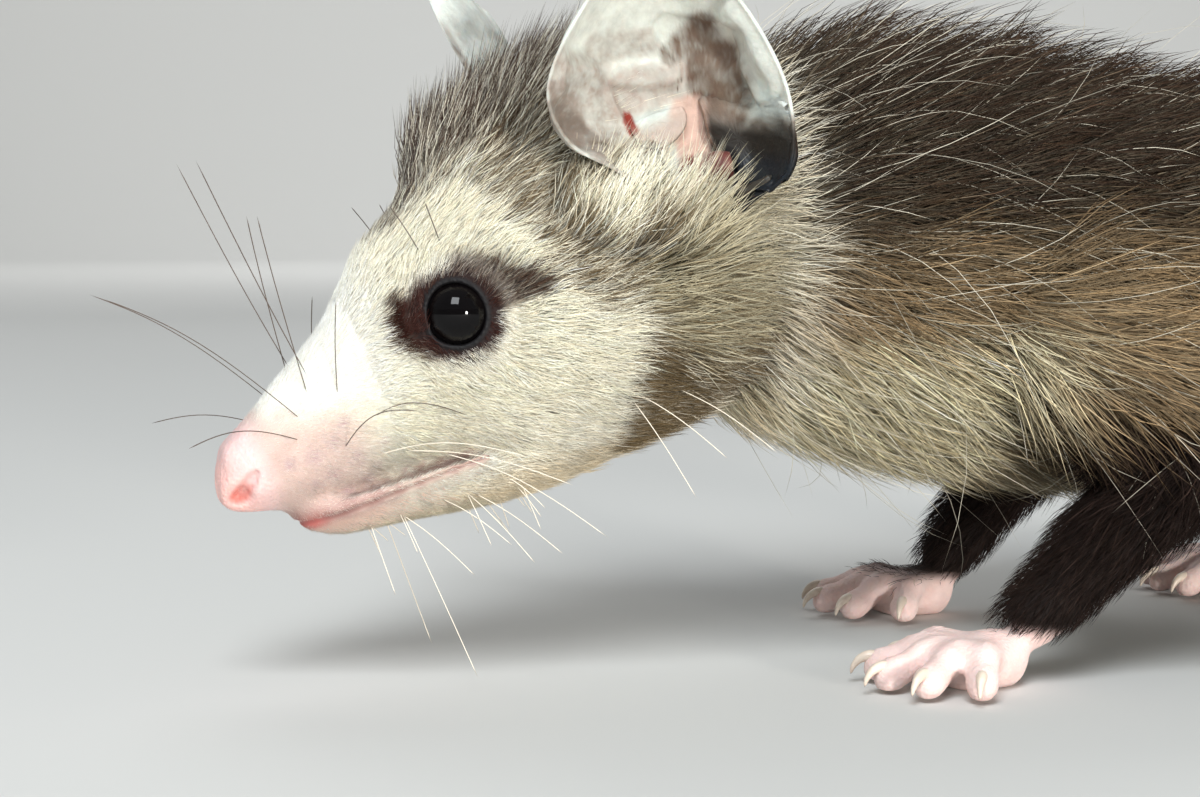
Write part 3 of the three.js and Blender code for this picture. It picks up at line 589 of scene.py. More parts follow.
# zones(points) gives the hair's colour near the tip, its colour at the root, the share of dark hairs
# among pale ones, and the colour of the other hairs
def zones(points):
    f, left, u = headPlace(points)
    out = abs(left)
    behind, above = points[:, 0], points[:, 2]
    wave = roughly(points, 0.22, 3)
    fine = roughly(points, 0.7, 9)
    f = f + 0.7 * wave + 0.4 * fine
    u = u + 0.6 * fine

    colour = np.tile(tone["cream"], (len(points), 1))
    colour = blend(colour, tone["creamLow"], smoothStep(-9, -16, u))
    # painted highlight: the top of the snout is painted whiter, as lit from above
    colour = blend(colour, tone["bridgeHighlight"], smoothStep(3, 11, f) * smoothStep(-8, -3, u))
    muzzle = smoothStep(10, 15, f) * smoothStep(-3.5, -7.5, u + 0.25 * (15 - f))
    colour = blend(colour, tone["muzzle"], muzzle)
    colour = blend(colour, tone["muzzle"], smoothStep(20.5, 22.5, f))
    colour = blend(colour, tone["under"], smoothStep(-16, -19, u) * (f > -30))
    darkShare = np.zeros(len(points))
    other = np.tile(tone["olive"], (len(points), 1))

    def lay(mask, dark, share):
        nonlocal darkShare, other
        other = blend(other, tone[dark], mask)
        darkShare = blendNumber(darkShare, share, mask)

    lay(capsule(f, u, (-10.5, 10), (-14.5, -1.5), 3.8, 3.4) * (out > 6), "olive", 0.56)
    lay(smoothStep(-10.5, -13.5, f) * smoothStep(6, 10, u) * smoothStep(-22, -18, f), "olive", 0.6)
    lay(capsule(f, u, (-17.5, 1), (-20, -8), 2.6, 3.4) * (out > 6), "olive", 0.52)
    lay(capsule(f, u, (-20, -8), (-16, -20), 3.6, 5.5) * (out > 3), "olive", 0.86)
    lay(capsule(f, u, (-21, 1), (-27, -14), 3.5, 6) * (out > 5), "olive", 0.7)
    lay(smoothStep(5.2, 1.6, out) * smoothStep(9, 1, f) * smoothStep(0, 5, u), "crown", 0.6)
    lay(smoothStep(10.2, 14.2, u + 0.1 * (f + 6)) * smoothStep(3, -1.5, f), "crown", 0.72)
    eyeRing = np.hypot((f - 1.8) / 5.5, (u - 0.1) / np.where(u > 0, 4.7, 4.1))
    lay((1 - smoothStep(0.74, 1.22, eyeRing)) * (out > 5), "eyePatch", 1.0)
    streak = capsule(f, u, (-1.8, 2.2), (-8.3, 0.5), 3.5, 1.3) * (out > 5)
    lay(streak, "eyeStreak", 0.88)
    lidRing = fromEye(f, u)
    lay((1 - smoothStep(1.15, 1.5, lidRing)) * (out > 5), "eyePatch", 1.0)

    # neck, back and flanks
    onBody = smoothStep(29.5, 39, behind + 0.1 * (above - 50) + 3 * wave)
    onBody = onBody * smoothStep(-24, -28, f + 0.3 * u)
    body = blend(tone["side"], tone["dark"], smoothStep(40, 51, above + 3 * wave))
    body = blend(body, tone["dark"], smoothStep(74, 96, behind) * 0.6)
    chestMask = smoothStep(38, 32, above + 2 * wave) * smoothStep(62, 54, behind - 0.35 * (above - 20))
    belly = smoothStep(26, 18, above) * smoothStep(17, 13, out)
    body = blend(body, tone["chest"], chestMask)
    body = blend(body, tone["belly"], belly * smoothStep(56, 64, behind))
    ruffMask = capsule(f, u, (-24.5, -5), (-31, 1), 7.5, 6) * (out > 6)
    colour = blend(colour, tone["ruff"], ruffMask)
    colour = blend(colour, body, onBody * (1 - 0.8 * ruffMask))
    darkShare = darkShare * (1 - onBody) * (1 - 0.5 * ruffMask)
    other = blend(other, tone["guard"], onBody)
    nape = smoothStep(-24, -30, f) * smoothStep(4, 9, u) * (1 - onBody)
    colour = blend(colour, tone["dark"], nape)
    fan = np.exp(-((np.hypot(f + 25, u - 9) - 13.5) / 3.5) ** 2) * smoothStep(-27, -31, f) * (out > 5)
    darkShare = blendNumber(darkShare, 0.75, fan)  # white hairs round the back of the ear
    other = blend(other, tone["guard"], fan)

    # legs: black to the wrist and ankle, then bare pink
    fore = (behind > 50) & (behind < 90) & (above < 31) & (out > 14) & (f < -30)
    hind = (behind > 98) & (above < 26) & (out > 15)
    blackLeg = np.where(fore, smoothStep(29, 24, above), np.where(hind, smoothStep(24, 14, above), 0))
    colour = blend(colour, tone["blackArm"], blackLeg)
    paler = np.minimum(colour * 1.5 + 0.03 * (onBody * (1 - blackLeg))[:, None], 0.85)
    root = blend(colour, paler, 0.6)
    root = blend(root, tone["ruff"], 0.35 * onBody * (1 - blackLeg))
    return colour, root, darkShare, other


skinColours = dict(
    noseTop=(226, 192, 188), noseTip=(246, 196, 188), nostril=(208, 116, 104), lip=(152, 114, 108),
    # mouth: the lips' own mauve edge, darkened as painted shade in the mouth's crease
    mouth=(150, 104, 98), mouthFront=(206, 106, 100), muzzleSkin=(202, 174, 165), lidEdge=(14, 12, 14),
    lidSkin=(36, 22, 20), foot=(240, 216, 210), footCrease=(224, 180, 172), tailDark=(62, 52, 48),
    tailPale=(226, 196, 184), chin=(232, 196, 178), follicle=(176, 148, 150),
)
hide = {name: linear(rgb) for name, rgb in skinColours.items()}
follicles = [  # ahead, up and reach of the grey spots the whiskers grow from
    (18.4, -8.6, 0.9), (16.1, -7.9, 0.8), (14.4, -10.2, 0.8), (11.4, -9.5, 0.8), (20.8, -8.5, 0.6),
    (17.1, -11, 0.8), (16.1, -13.1, 0.7), (12.8, -11.9, 0.8), (9.6, -12.9, 0.9), (19, -11.4, 0.6),
    (14.6, -6.2, 0.6), (13.9, -12.9, 0.6), (7.4, -12.6, 0.7),
]


def tailPlace(points):  # how far along the tail, from 0 at the rump to 1, and the angle round it
    run = runThrough([[*bodyPoint(b, left, z)] for b, left, z, r in tailRun], np.linspace(0, 1, 200))
    length = np.concatenate([[0], np.cumsum(np.linalg.norm(np.diff(run, axis=0), axis=1))])
    tree = treeOf(run)
    index = np.array([tree.find(p)[1] for p in points])
    offset = points - run[index]
    ahead = unit(np.gradient(run, axis=0))[index]
    aside = unit(np.cross(ahead, [0.7, 0, 0.7]))
    angle = np.arctan2((offset * aside).sum(1), (offset * np.cross(aside, ahead)).sum(1))
    return length[index] / length[-1], angle, length[-1]


def paintSkin():
    mesh = skin.data
    points = pointsOf(mesh)
    f, left, u = headPlace(points)
    out = abs(left)
    colour, _, darkShare, other = zones(points)
    colour = blend(colour, other, darkShare * 0.85) * 0.776  # the skin is painted darker than its coat, as painted shade between the hairs
    noseMask = smoothStep(21.5, 24, f)
    colour = blend(colour, hide["muzzleSkin"], smoothStep(10, 18, f) * smoothStep(-2, -8, u) * 0.85)
    colour = blend(colour, hide["noseTop"], noseMask)
    colour = blend(colour, hide["noseTip"], noseMask * smoothStep(24.5, 27.5, f - 0.35 * (u + 8)))
    colour = blend(colour, hide["chin"], smoothStep(-15.3, -16.2, u) * smoothStep(-4, 4, f) * 0.8)
    band = np.exp(-((u - mouthAt(f) - 0.3) / 1.3) ** 2) * smoothStep(-1, 4, f) * smoothStep(23, 21.5, f)
    colour = blend(colour, hide["lip"], band * (0.7 + 0.3 * roughly(points, 0.9, 31)))
    for ahead, high, reach in follicles:
        spot = np.exp(-(((f - ahead) ** 2 + (u - high) ** 2) / reach**2) ** 1.5) * (out > 2)
        colour = blend(colour, hide["follicle"], spot * 0.75)
    # the mouth line: the lips' mauve edge, and painted shade along the crease of the groove
    line = np.exp(-((u - mouthAt(f)) / skinSizes["mouthHalf"]) ** 2)
    line = line * smoothStep(0.5, 3, f) * smoothStep(24, 22.5, f)
    colour = blend(colour, hide["mouth"], line * 0.45)
    front = np.exp(-(((f - 20.6) / 1.6) ** 2 + ((u + 15.4) / 0.9) ** 2))
    colour = blend(colour, hide["mouthFront"], front * 0.8)
    pit = 0.9 * smoothStep(0.4, 1.3, nostrilDepth(f, out, u))
    colour = blend(colour, hide["nostril"], pit)
    wet = np.clip(noseMask * 0.8 + line + pit, 0, 1)
    lidMask = np.zeros(len(points))
    for side in sides.values():
        rho, g = eyeOpening(points, side)[:2]
        near = (g > -1) & (left * side > 6)
        colour = blend(colour, hide["lidSkin"], near * (1 - smoothStep(1.5, 2.2, rho)))
        colour = blend(colour, hide["lidEdge"], near * (1 - smoothStep(1.14, 1.3, rho)))
        wet = np.maximum(wet, near * (1 - smoothStep(1.1, 1.24, rho)) * 0.5)
        lidMask = np.maximum(lidMask, near * (1 - smoothStep(1.2, 1.5, rho)))
    behind, above = points[:, 0], points[:, 2]
    frontFoot = (behind > 36) * (behind < 72) * (out > 10)
    rearFoot = (behind > 72) * (behind < 142) * (out > 10)
    footMask = smoothStep(6.6, 5.2, above + 0.12 * (behind - 56)) * frontFoot
    footMask = np.maximum(footMask, smoothStep(7, 5.4, above) * rearFoot)
    crease = 0.5 + 0.5 * roughly(points, 0.5, 20)
    footTone = blend(hide["foot"], hide["footCrease"], crease * 0.5)
    colour = blend(colour, footTone, footMask)
    onTail = (behind > 155) | ((behind > 148) & (above < 30) & (out < 9))
    along, angle, length = np.zeros(len(points)), np.zeros(len(points)), 1
    tailMask = onTail.astype(float)
    where = np.flatnonzero(onTail)
    along[where], angle[where], length = tailPlace(points[where])
    pale = smoothStep(0.42, 0.56, along + 0.03 * roughly(points, 0.3, 5))
    tailTone = blend(hide["tailDark"], hide["tailPale"], pale)
    colour = blend(colour, tailTone, tailMask * smoothStep(0.10, 0.16, along))
    setColour(mesh, "skinColour", colour)
    setNumber(mesh, "wet", wet)
    setNumber(mesh, "pebbled", np.clip(noseMask + footMask + lidMask, 0, 1))
    setNumber(mesh, "tailLike", tailMask * smoothStep(0.08, 0.14, along))
    setNumber(mesh, "tailAlong", along * length)
    setNumber(mesh, "tailAround", angle)


paintSkin()
bpy.ops.object.select_all(action="DESELECT")
skin.select_set(True)
bpy.context.view_layer.objects.active = skin
bpy.ops.object.mode_set(mode="EDIT")
bpy.ops.mesh.select_all(action="SELECT")
bpy.ops.uv.smart_project(angle_limit=radians(66), island_margin=0.001)
bpy.ops.object.mode_set(mode="OBJECT")
skin.data.uv_layers[0].name = "OFBake"
print("skin painted and unwrapped")


# Materials
def newMaterial(name):
    material = bpy.data.materials.new(name)
    material.use_nodes = True
    tree = material.node_tree

    def wire(node, sockets):  # a socket takes a value or another node's output
        for socket, value in sockets.items():
            if isinstance(value, bpy.types.NodeSocket):
                tree.links.new(value, node.inputs[socket])
            else:
                node.inputs[socket].default_value = value

    def add(kind, sockets=None, output=0, **settings):
        node = tree.nodes.new(kind)
        for key, value in settings.items():
            setattr(node, key, value)
        wire(node, sockets or {})
        return node.outputs[output]

    def finish(sockets):
        wire(tree.nodes["Principled BSDF"], sockets)
        return material

    return add, finish


def texture(add, kind, **sockets):  # a texture in the piece's own space
    place = add("ShaderNodeTexCoord", output="Object")
    return add(kind, {"Vector": place, **sockets})


def attribute(add, name, output="Fac"):
    return add("ShaderNodeAttribute", output=output, attribute_name=name)


def ranged(add, value, low, high, start=0.0, end=1.0):
    sockets = {"Value": value, "From Min": start, "From Max": end, "To Min": low, "To Max": high}
    return add("ShaderNodeMapRange", sockets)


def mixed(add, a, b, share, kind="MIX"):
    return add("ShaderNodeMix", {0: share, 6: a, 7: b}, 2, data_type="RGBA", blend_type=kind)


def shaded(add, name, shade):  # painted colours, lighter and darker in places
    return mixed(add, attribute(add, name, "Color"), shade, 1.0, "MULTIPLY")


def combine(add, kind, a, b):
    return add("ShaderNodeMath", {0: a, 1: b}, operation=kind)


def bumped(add, height, strength, distance):
    return add("ShaderNodeBump", {"Strength": strength, "Distance": distance, "Height": height})


skinLook = dict(
    blotch=420.0, shade=(0.80, 1.16), pores=3200.0, pebble=2600.0, scaleLong=1.05, scaleRound=2.6,
    poreRise=0.25, pebbleRise=-0.5, scaleRise=-0.9, bump=(0.5, 0.00025), rough=(0.8, 0.3), gloss=0.25,
    glow=0.2, glowColour=(1.0, 0.45, 0.3), glowReach=0.0012,
)
coatLook = dict(streak=900.0, shade=(0.86, 1.12), rough=(0.5, 0.7), bump=(0.15, 0.00005), gloss=0.1)


def skinMaterial():
    add, finish = newMaterial("bareSkin")
    look = skinLook
    blotch = texture(add, "ShaderNodeTexNoise", Scale=look["blotch"], Detail=5.0)
    # pores all over, pebbles on the nose and feet, scales round the tail
    pores = texture(add, "ShaderNodeTexNoise", Scale=look["pores"], Detail=3.0)
    pebble = texture(add, "ShaderNodeTexVoronoi", Scale=look["pebble"])
    grid = add("ShaderNodeCombineXYZ", {
        "X": combine(add, "MULTIPLY", attribute(add, "tailAlong"), look["scaleLong"]),
        "Y": combine(add, "MULTIPLY", attribute(add, "tailAround"), look["scaleRound"]),
    })
    scales = add("ShaderNodeTexVoronoi", {"Vector": grid, "Scale": 1.0})
    height = combine(add, "MULTIPLY", pores, look["poreRise"])
    for pattern, where, rise in ((pebble, "pebbled", "pebbleRise"), (scales, "tailLike", "scaleRise")):
        there = combine(add, "MULTIPLY", attribute(add, where), look[rise])
        height = combine(add, "ADD", height, combine(add, "MULTIPLY", pattern, there))
    return finish({
        "Base Color": shaded(add, "skinColour", ranged(add, blotch, *look["shade"])),
        "Roughness": ranged(add, attribute(add, "wet"), *look["rough"]),
        "Normal": bumped(add, height, *look["bump"]),
        "Specular IOR Level": look["gloss"],
        "Subsurface Weight": look["glow"],
        "Subsurface Radius": look["glowColour"],
        "Subsurface Scale": look["glowReach"],
    })


def coatMaterial():
    add, finish = newMaterial("furCoat")
    streak = texture(add, "ShaderNodeTexNoise", Scale=coatLook["streak"], Detail=2.0)
    return finish({
        "Base Color": shaded(add, "coatColour", ranged(add, streak, *coatLook["shade"])),
        "Roughness": ranged(add, streak, *coatLook["rough"]),
        "Normal": bumped(add, streak, *coatLook["bump"]),
        "Specular IOR Level": coatLook["gloss"],
    })


skin.data.materials.append(skinMaterial())
furCoat = coatMaterial()

# Ears: thin cups whose rim runs from the brow over the top to the notch below
earRim = [  # ahead, out, up
    (-17.6, 17.2, 8.6), (-13.2, 19.6, 13), (-12.4, 21.6, 18.5), (-17.1, 23, 24), (-23.6, 23.4, 27.6),
    (-29.8, 23.6, 25.7), (-33.2, 24, 18.8), (-34.3, 24.4, 10.4), (-32.4, 23.6, 3.5), (-28.8, 20.8, 1.4),
    (-25.2, 16.2, -0.9), (-22.2, 15.8, 3.4),
]
earShape = dict(ahead=-24, out=12.8, up=7, thickBase=0.9, thickRim=0.34, around=210, deep=64)
# the right ear is pricked: turned to face forward, flatter and a little higher
earTurn = dict(pivot=(-21.5, 14.5), turn=66, flat=0.45, lean=0.16, back=0.4, inward=1.5, lift=4, rise=2)
earColours = dict(
    white=(208, 211, 203), frontGrey=(150, 138, 128), edgeGrey=(120, 108, 98),
    # archBrownAndShade: the ear's brown-grey mottling, darkened as painted shade in the hollow behind
    # the flap
    pinkGrey=(168, 152, 142), archBrownAndShade=(104, 87, 74), dark=(34, 29, 24), blueBlack=(18, 23, 29),
    pink=(206, 174, 160), canal=(140, 70, 60), slit=(134, 48, 36), flap=(174, 158, 148),
    speck=(96, 74, 62), bump=(96, 54, 50), ridge=(50, 46, 40), point=(44, 38, 33), backDark=(96, 86, 78),
)
earTone = {name: linear(rgb) for name, rgb in earColours.items()}
earFlap = [  # ahead and up of the small flap over the hollow
    (-21.9, 13.6), (-23.9, 14.8), (-26.3, 13.8), (-27.5, 11.8), (-26.9, 10), (-25.2, 8.9), (-23.5, 8.8),
    (-22.0, 9.7), (-21.3, 11.6),
]
earLobe = [  # the dark fold along the lower rear rim
    (-29.2, 12.6), (-28.7, 10.6), (-28.4, 8.6), (-28.7, 6.8), (-29.6, 5), (-29.2, 3), (-30, 1.7),
    (-31.8, 2.2), (-33.4, 4), (-34, 7.5), (-33.6, 11.5), (-31.6, 13.6),
]
# what the parts of an ear are, by the number that each of their points carries
earKinds = dict(front=0, flap=1, lobe=2, ridge=3, bump=4, point=5, back=6)
earRuns = dict(  # ahead, out, up and radius of the small folds in the hollow
    ridge=[(-25.4, 16.6, 4.2, 0.25), (-26.4, 17.4, 3.3, 0.42), (-27.8, 18.6, 2.6, 0.5),
           (-29.6, 19.8, 2.4, 0.52), (-31.4, 21, 3, 0.4)],
    bump=[(-26.6, 15.4, 5.6, 0.3), (-27.2, 15.8, 5.4, 1.3), (-28.3, 16.4, 5.2, 1.6),
          (-29.4, 17, 5, 1.2)],
    point=[(-22.6, 15.2, 6.6, 0.6), (-22.6, 15.4, 7.4, 0.55), (-22.7, 15.7, 8.3, 0.35),
           (-22.8, 15.9, 9, 0.1)],
)
earBends = [  # ends from the side, radius at each, and how far the bend stands out
    ((-16.9, 17), (-18.4, 11.5), 3.2, 2.4, 1.5), ((-21.5, 17.5), (-27, 16), 1.4, 1.6, 0.9),
    ((-28, 19.5), (-33.5, 15.5), 1.4, 1.8, -0.7), ((-35, 18), (-35.8, 10), 1.4, 1.4, 0.8),
    ((-22, 9), (-22.6, 6), 1.1, 1.2, -0.9), ((-25.4, 5), (-24.9, 0), 1.2, 0.9, -0.8),
]
earMarks = [  # colour, ends, radius at each, its even share and its mottled share
    ("edgeGrey", (-15.2, 17), (-15.6, 12.5), 1.1, 1.3, 0.3, 1.0),
    ("frontGrey", (-17.6, 16.5), (-19, 11.5), 3.6, 2.8, 0.35, 0.6),
    ("frontGrey", (-20.5, 19.8), (-25.5, 19), 1.5, 1.5, 0.2, 0.6),
    ("pinkGrey", (-22, 15), (-27.5, 14.5), 2.2, 2.0, 0.4, 0.5),
    ("edgeGrey", (-19.6, 9.4), (-21.4, 8.6), 1.0, 1.2, 0.3, 1.0),
    ("edgeGrey", (-14.2, 15), (-22, 4.4), 1.3, 1.4, 0.5, 0.4),
    # the arch: brown-grey mottling, and painted shade in the hollow along it
    ("archBrownAndShade", (-27.4, 17.3), (-31, 18), 1.1, 1.7, 0.45, 0.7),
    ("archBrownAndShade", (-31, 18), (-32.8, 14.8), 1.5, 1.5, 0.45, 0.5),
    ("archBrownAndShade", (-32.8, 14.8), (-31.8, 10.5), 1.6, 2.4, 0.7, 0.4),
    ("archBrownAndShade", (-30.2, 15.6), (-29.8, 11.5), 1.5, 1.6, 0.7, 0.4),
]
earPits = [
    ("canal", (-25.9, 6.2), (-24.8, -0.6), 1.0, 1.1, 1, 0),
    # painted shade: the hollow round the point's foot is painted with the point's dark colour
    ("point", (-21.4, 8.8), (-23.2, 5), 1.2, 1.5, 1, 0),
    ("slit", (-21.2, 13), (-21.5, 9.4), 0.5, 0.6, 1, 0),
    ("slit", (-21.8, 9.2), (-24.2, 8.9), 0.5, 0.5, 0.8, 0),
]


def earShell(around, depth):  # ahead, out and up of the cup's middle, from floor at 0 to rim at 1
    edge = closedRun(earRim, around)
    quarter = depth * pi / 2
    spread = np.sin(quarter) ** 0.85
    height = 1 - np.cos(quarter) ** 1.15
    floor = np.array([earShape["ahead"], earShape["out"], earShape["up"]])
    share = np.stack([spread, height, spread], -1)
    return floor + (edge - floor) * share


def earSide(p):  # where a place on the ear shows from the side, which the markings follow
    return p[..., 0] - 0.277 * (p[..., 1] - 14.5), p[..., 2] - 0.19 * (p[..., 1] - 14.5)


def earFolds(p):  # how far the hollow face stands out, in millimetres
    a, u = earSide(p)
    folds = np.zeros(a.shape)
    for start, end, radiusA, radiusB, amount in earBends:
        folds += amount * capsule(a, u, start, end, radiusA, radiusB)
    return folds + 0.35 * roughly(p.reshape(-1, 3), 0.34, 12).reshape(a.shape)


def sheetPart(outline, bed, lift, thick, bulge):  # a thin closed flap that lies over the bed
    around, rows = 80, 12
    flat = np.array([(a, 0, u) for a, u in outline])
    edge = closedRun(flat, np.linspace(0, 1, around, endpoint=False))
    middle = edge.mean(0)
    share = np.linspace(0, 1, rows + 1)[1:, None, None]
    grid = middle + (edge - middle) * share
    share = share[..., 0]
    grid[..., 1] = bed(grid) + lift(grid) + bulge * (1 - share**2)
    half = thick / 2 * np.sqrt(np.maximum(1 - share**6, 0))[..., None] * np.array([0, 1, 0])
    centre = np.array([middle[0], grid[0, :, 1].mean() + bulge * 0.02, middle[2]])
    rings = [*(grid - half)[:-1], grid[-1], *(grid + half)[:-1][::-1]]
    points = np.vstack([centre - [0, thick / 2, 0], *rings, centre + [0, thick / 2, 0]])
    return points, ringFaces(len(rings), around)


def earParts():  # parts as points and faces, each with the number of what it is
    deep = earShape["deep"]
    around = np.linspace(0, 1, earShape["around"], endpoint=False)
    depths = np.linspace(0, 1, deep + 1)[1:]
    grid = earShell(around[None, :], depths[:, None])
    turn = np.roll(grid, -1, axis=1) - np.roll(grid, 1, axis=1)
    normal = unit(np.cross(turn, np.gradient(grid, axis=0)))
    normal *= np.where(normal[..., 1:2] > 0, -1, 1)  # into the head
    thick = blendNumber(earShape["thickBase"], earShape["thickRim"], depths[:, None] ** 0.6)
    folds = earFolds(grid) * smoothStep(1.0, 0.86, depths)[:, None]
    back = grid + normal * (thick / 2 - 0.8 * folds)[..., None]
    front = grid - normal * (thick / 2 + folds)[..., None]
    rim = grid[-1] + (grid[-1] - grid[-2]) * 0.3
    floor = earShell(np.zeros(1), np.zeros(1))[0]
    rings = [*back, rim, *front[::-1]]
    points = np.vstack([floor - [0, 0.5, 0], *rings, floor + [0, 0.5, 0]])
    whole = deep * len(around)
    kinds = np.repeat([earKinds["back"], earKinds["front"]], [1 + whole, len(around) + whole + 1])
    near = np.repeat(depths, len(around))  # how near the rim each point is
    nearRim = np.concatenate([[0], near, np.ones(len(around)), near[::-1], [0]])
    parts = [(points, ringFaces(len(rings), len(around)), kinds, nearRim)]

    face = front.reshape(-1, 3)
    tree = treeOf(face * [1, 0, 1])

    def bed(p):
        flat = p.reshape(-1, 3) * [1, 0, 1]
        levels = [np.mean([face[hit[1], 1] for hit in tree.find_n(q, 4)]) for q in flat]
        return np.array(levels).reshape(p.shape[:-1])

    def flapLift(p):  # the upper edge runs into the ear, the lower one stands off it
        return -0.7 + 1.6 * smoothStep(13.5, 9.5, p[..., 2])

    def lobeLift(p):
        return 0.05 + 1.2 * smoothStep(-32.5, -29, p[..., 0]) - 1.5 * smoothStep(9, 13, p[..., 2])

    flap = sheetPart(earFlap, bed, flapLift, 0.24, 0.2)
    lobe = sheetPart(earLobe, bed, lobeLift, 0.36, 0.15)
    solids = [("flap", *flap), ("lobe", *lobe)]
    for name, run in earRuns.items():
        points, faces = roundRun(run, 22, 18, (0, 1, 0.1))
        points = points + 0.12 * roughly(points, 1.4, earKinds[name])[:, None]
        solids.append((name, points, faces))
    for name, points, faces in solids:
        parts.append((points, faces, np.full(len(points), earKinds[name]), np.zeros(len(points))))
    return parts


def makeEar(side, name):
    parts = earParts()
    points, faces = joinParts([part[:2] for part in parts])
    kinds, nearRim = (np.concatenate([part[k] for part in parts]) for k in (2, 3))
    placed = points.copy()
    if side < 0:
        turn = radians(earTurn["turn"])
        ahead, out = earTurn["pivot"]
        a, o, high = points[:, 0] - ahead, (points[:, 1] - out) * earTurn["flat"], points[:, 2]
        placed[:, 0] = ahead + a * cos(turn) + o * sin(turn) + earTurn["lean"] * high - earTurn["back"]
        placed[:, 1] = out - a * sin(turn) + o * cos(turn) - earTurn["inward"]
        placed[:, 2] += earTurn["lift"] + earTurn["rise"] * smoothStep(0, 26, high)
    ear = makeObject(name, headPoint(placed[:, 0], side * placed[:, 1], placed[:, 2]), faces)
    build = bmesh.new()
    build.from_mesh(ear.data)
    bmesh.ops.recalc_face_normals(build, faces=build.faces)
    build.to_mesh(ear.data)
    build.free()
    paintEar(ear, points, kinds, nearRim)
    return ear


def paintEar(ear, p, kinds, nearRim):
    wave = roughly(p, 0.3, 2)
    fine = roughly(p, 1.0, 7)
    grain = roughly(p, 2.6, 17)
    a, u = earSide(p)
    a, u = a + 0.5 * wave + 0.25 * fine, u + 0.5 * wave - 0.25 * fine
    mottle = 0.5 + 0.7 * fine + 0.5 * grain
    colour = np.tile(earTone["white"], (len(p), 1))

    def lay(name, mask):
        nonlocal colour
        colour = blend(colour, earTone[name], np.clip(mask, 0, 1))

    def layAll(marks):
        for name, start, end, radiusA, radiusB, even, mottled in marks:
            lay(name, capsule(a, u, start, end, radiusA, radiusB) * (even + mottled * mottle))

    layAll(earMarks)
    lay("speck", capsule(a, u, (-27.8, 13.6), (-29.8, 12.6), 0.9, 1.2) * (mottle > 0.6))
    lay("pink", capsule(a, u, (-27.4, 11), (-26.8, 5), 1.9, 1.7))
    below = 11 + 0.62 * (a + 28.9) - u + 0.5 * wave  # under the white band along the rear rim
    rear = np.maximum(smoothStep(-28.4, -29.2, a), smoothStep(4, 2, u) * smoothStep(-26.6, -27.4, a))
    # the arch band above the dark lobe: brown-grey mottling, and painted shade in the hollow
    lay("archBrownAndShade", smoothStep(-1.2, 0.6, below) * rear * (0.6 + 0.4 * mottle))
    lay("dark", smoothStep(-0.4, 2.2, below) * rear)
    lay("blueBlack", smoothStep(3, 5.5, below) * rear)
    layAll(earPits)
    flap = blend(earTone["flap"], earTone["pinkGrey"], smoothStep(11, 13.5, u))
    flap = blend(flap, earTone["speck"], smoothStep(0.85, 1.2, mottle) * smoothStep(9.5, 12.5, u) * 0.7)
    flap = blend(flap, colour, smoothStep(10.5, 12.5, u))
    bump = blend(earTone["bump"], earTone["pinkGrey"], smoothStep(0.9, 1.2, mottle) * 0.5)
    back = blend(earTone["white"], earTone["backDark"], smoothStep(17, 8, u + 3 * wave) * 0.8)
    back = blend(back, colour, smoothStep(0.8, 0.96, nearRim))
    solids = dict(flap=flap, bump=bump, back=back, ridge=earTone["ridge"], point=earTone["point"])
    for name, tones in solids.items():
        colour = np.where((kinds == earKinds[name])[:, None], tones, colour)
    colour = colour * (1 + 0.10 * fine + 0.05 * grain)[:, None]
    setColour(ear.data, "earColour", colour)
    wet = 0.6 * smoothStep(3, 5, below) * rear + capsule(a, u, (-26, 6), (-25, 0), 1.2, 1.2)
    wet = np.where(np.isin(kinds, [earKinds[name] for name in earRuns]), 0.55, wet)
    setNumber(ear.data, "wet", np.where(kinds == earKinds["back"], 0, wet))


earLook = dict(
    mottle=520.0, spread=(0.3, 0.7), shade=(0.82, 1.12), grain=2400.0, bump=(0.35, 0.0002),
    rough=(0.66, 0.26), gloss=0.3, glow=0.3, glowColour=(1.0, 0.5, 0.35), glowReach=0.0015,
)


def earMaterial():
    add, finish = newMaterial("earSkin")
    mottle = texture(add, "ShaderNodeTexNoise", Scale=earLook["mottle"], Detail=6.0, Roughness=0.65)
    grain = texture(add, "ShaderNodeTexNoise", Scale=earLook["grain"], Detail=4.0)
    shade = ranged(add, mottle, *earLook["shade"], *earLook["spread"])
    return finish({
        "Base Color": shaded(add, "earColour", shade),
        "Roughness": ranged(add, attribute(add, "wet"), *earLook["rough"]),
        "Normal": bumped(add, grain, *earLook["bump"]),
        "Specular IOR Level": earLook["gloss"],
        "Subsurface Weight": earLook["glow"],
        "Subsurface Radius": earLook["glowColour"],
        "Subsurface Scale": earLook["glowReach"],
    })


earSkin = earMaterial()
for sideName, sign in sides.items():
    ear = makeEar(sign, f"ear{sideName.title()}")
    ear.data.materials.append(earSkin)
    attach(ear, "root")
    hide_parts(f"ear_{sideName}")
print("ears made")


# Eyes: a black, wet ball with a cornea that stands a little proud
eyeLook = dict(
    black=(0.0008, 0.0008, 0.0012, 1), brown=(0.003, 0.002, 0.002, 1), cloud=500.0, film=900.0,
    rough=(0.02, 0.05), bump=(0.02, 0.0001), gloss=0.2, cornea=0.22,
)


def eyeMaterial():
    add, finish = newMaterial("wetEye")
    cloud = texture(add, "ShaderNodeTexNoise", Scale=eyeLook["cloud"], Detail=3.0)
    film = texture(add, "ShaderNodeTexNoise", Scale=eyeLook["film"], Detail=2.0)
    return finish({
        "Base Color": mixed(add, eyeLook["black"], eyeLook["brown"], cloud),
        "Roughness": ranged(add, film, *eyeLook["rough"]),
        "Normal": bumped(add, film, *eyeLook["bump"]),
        "Specular IOR Level": eyeLook["gloss"],
    })


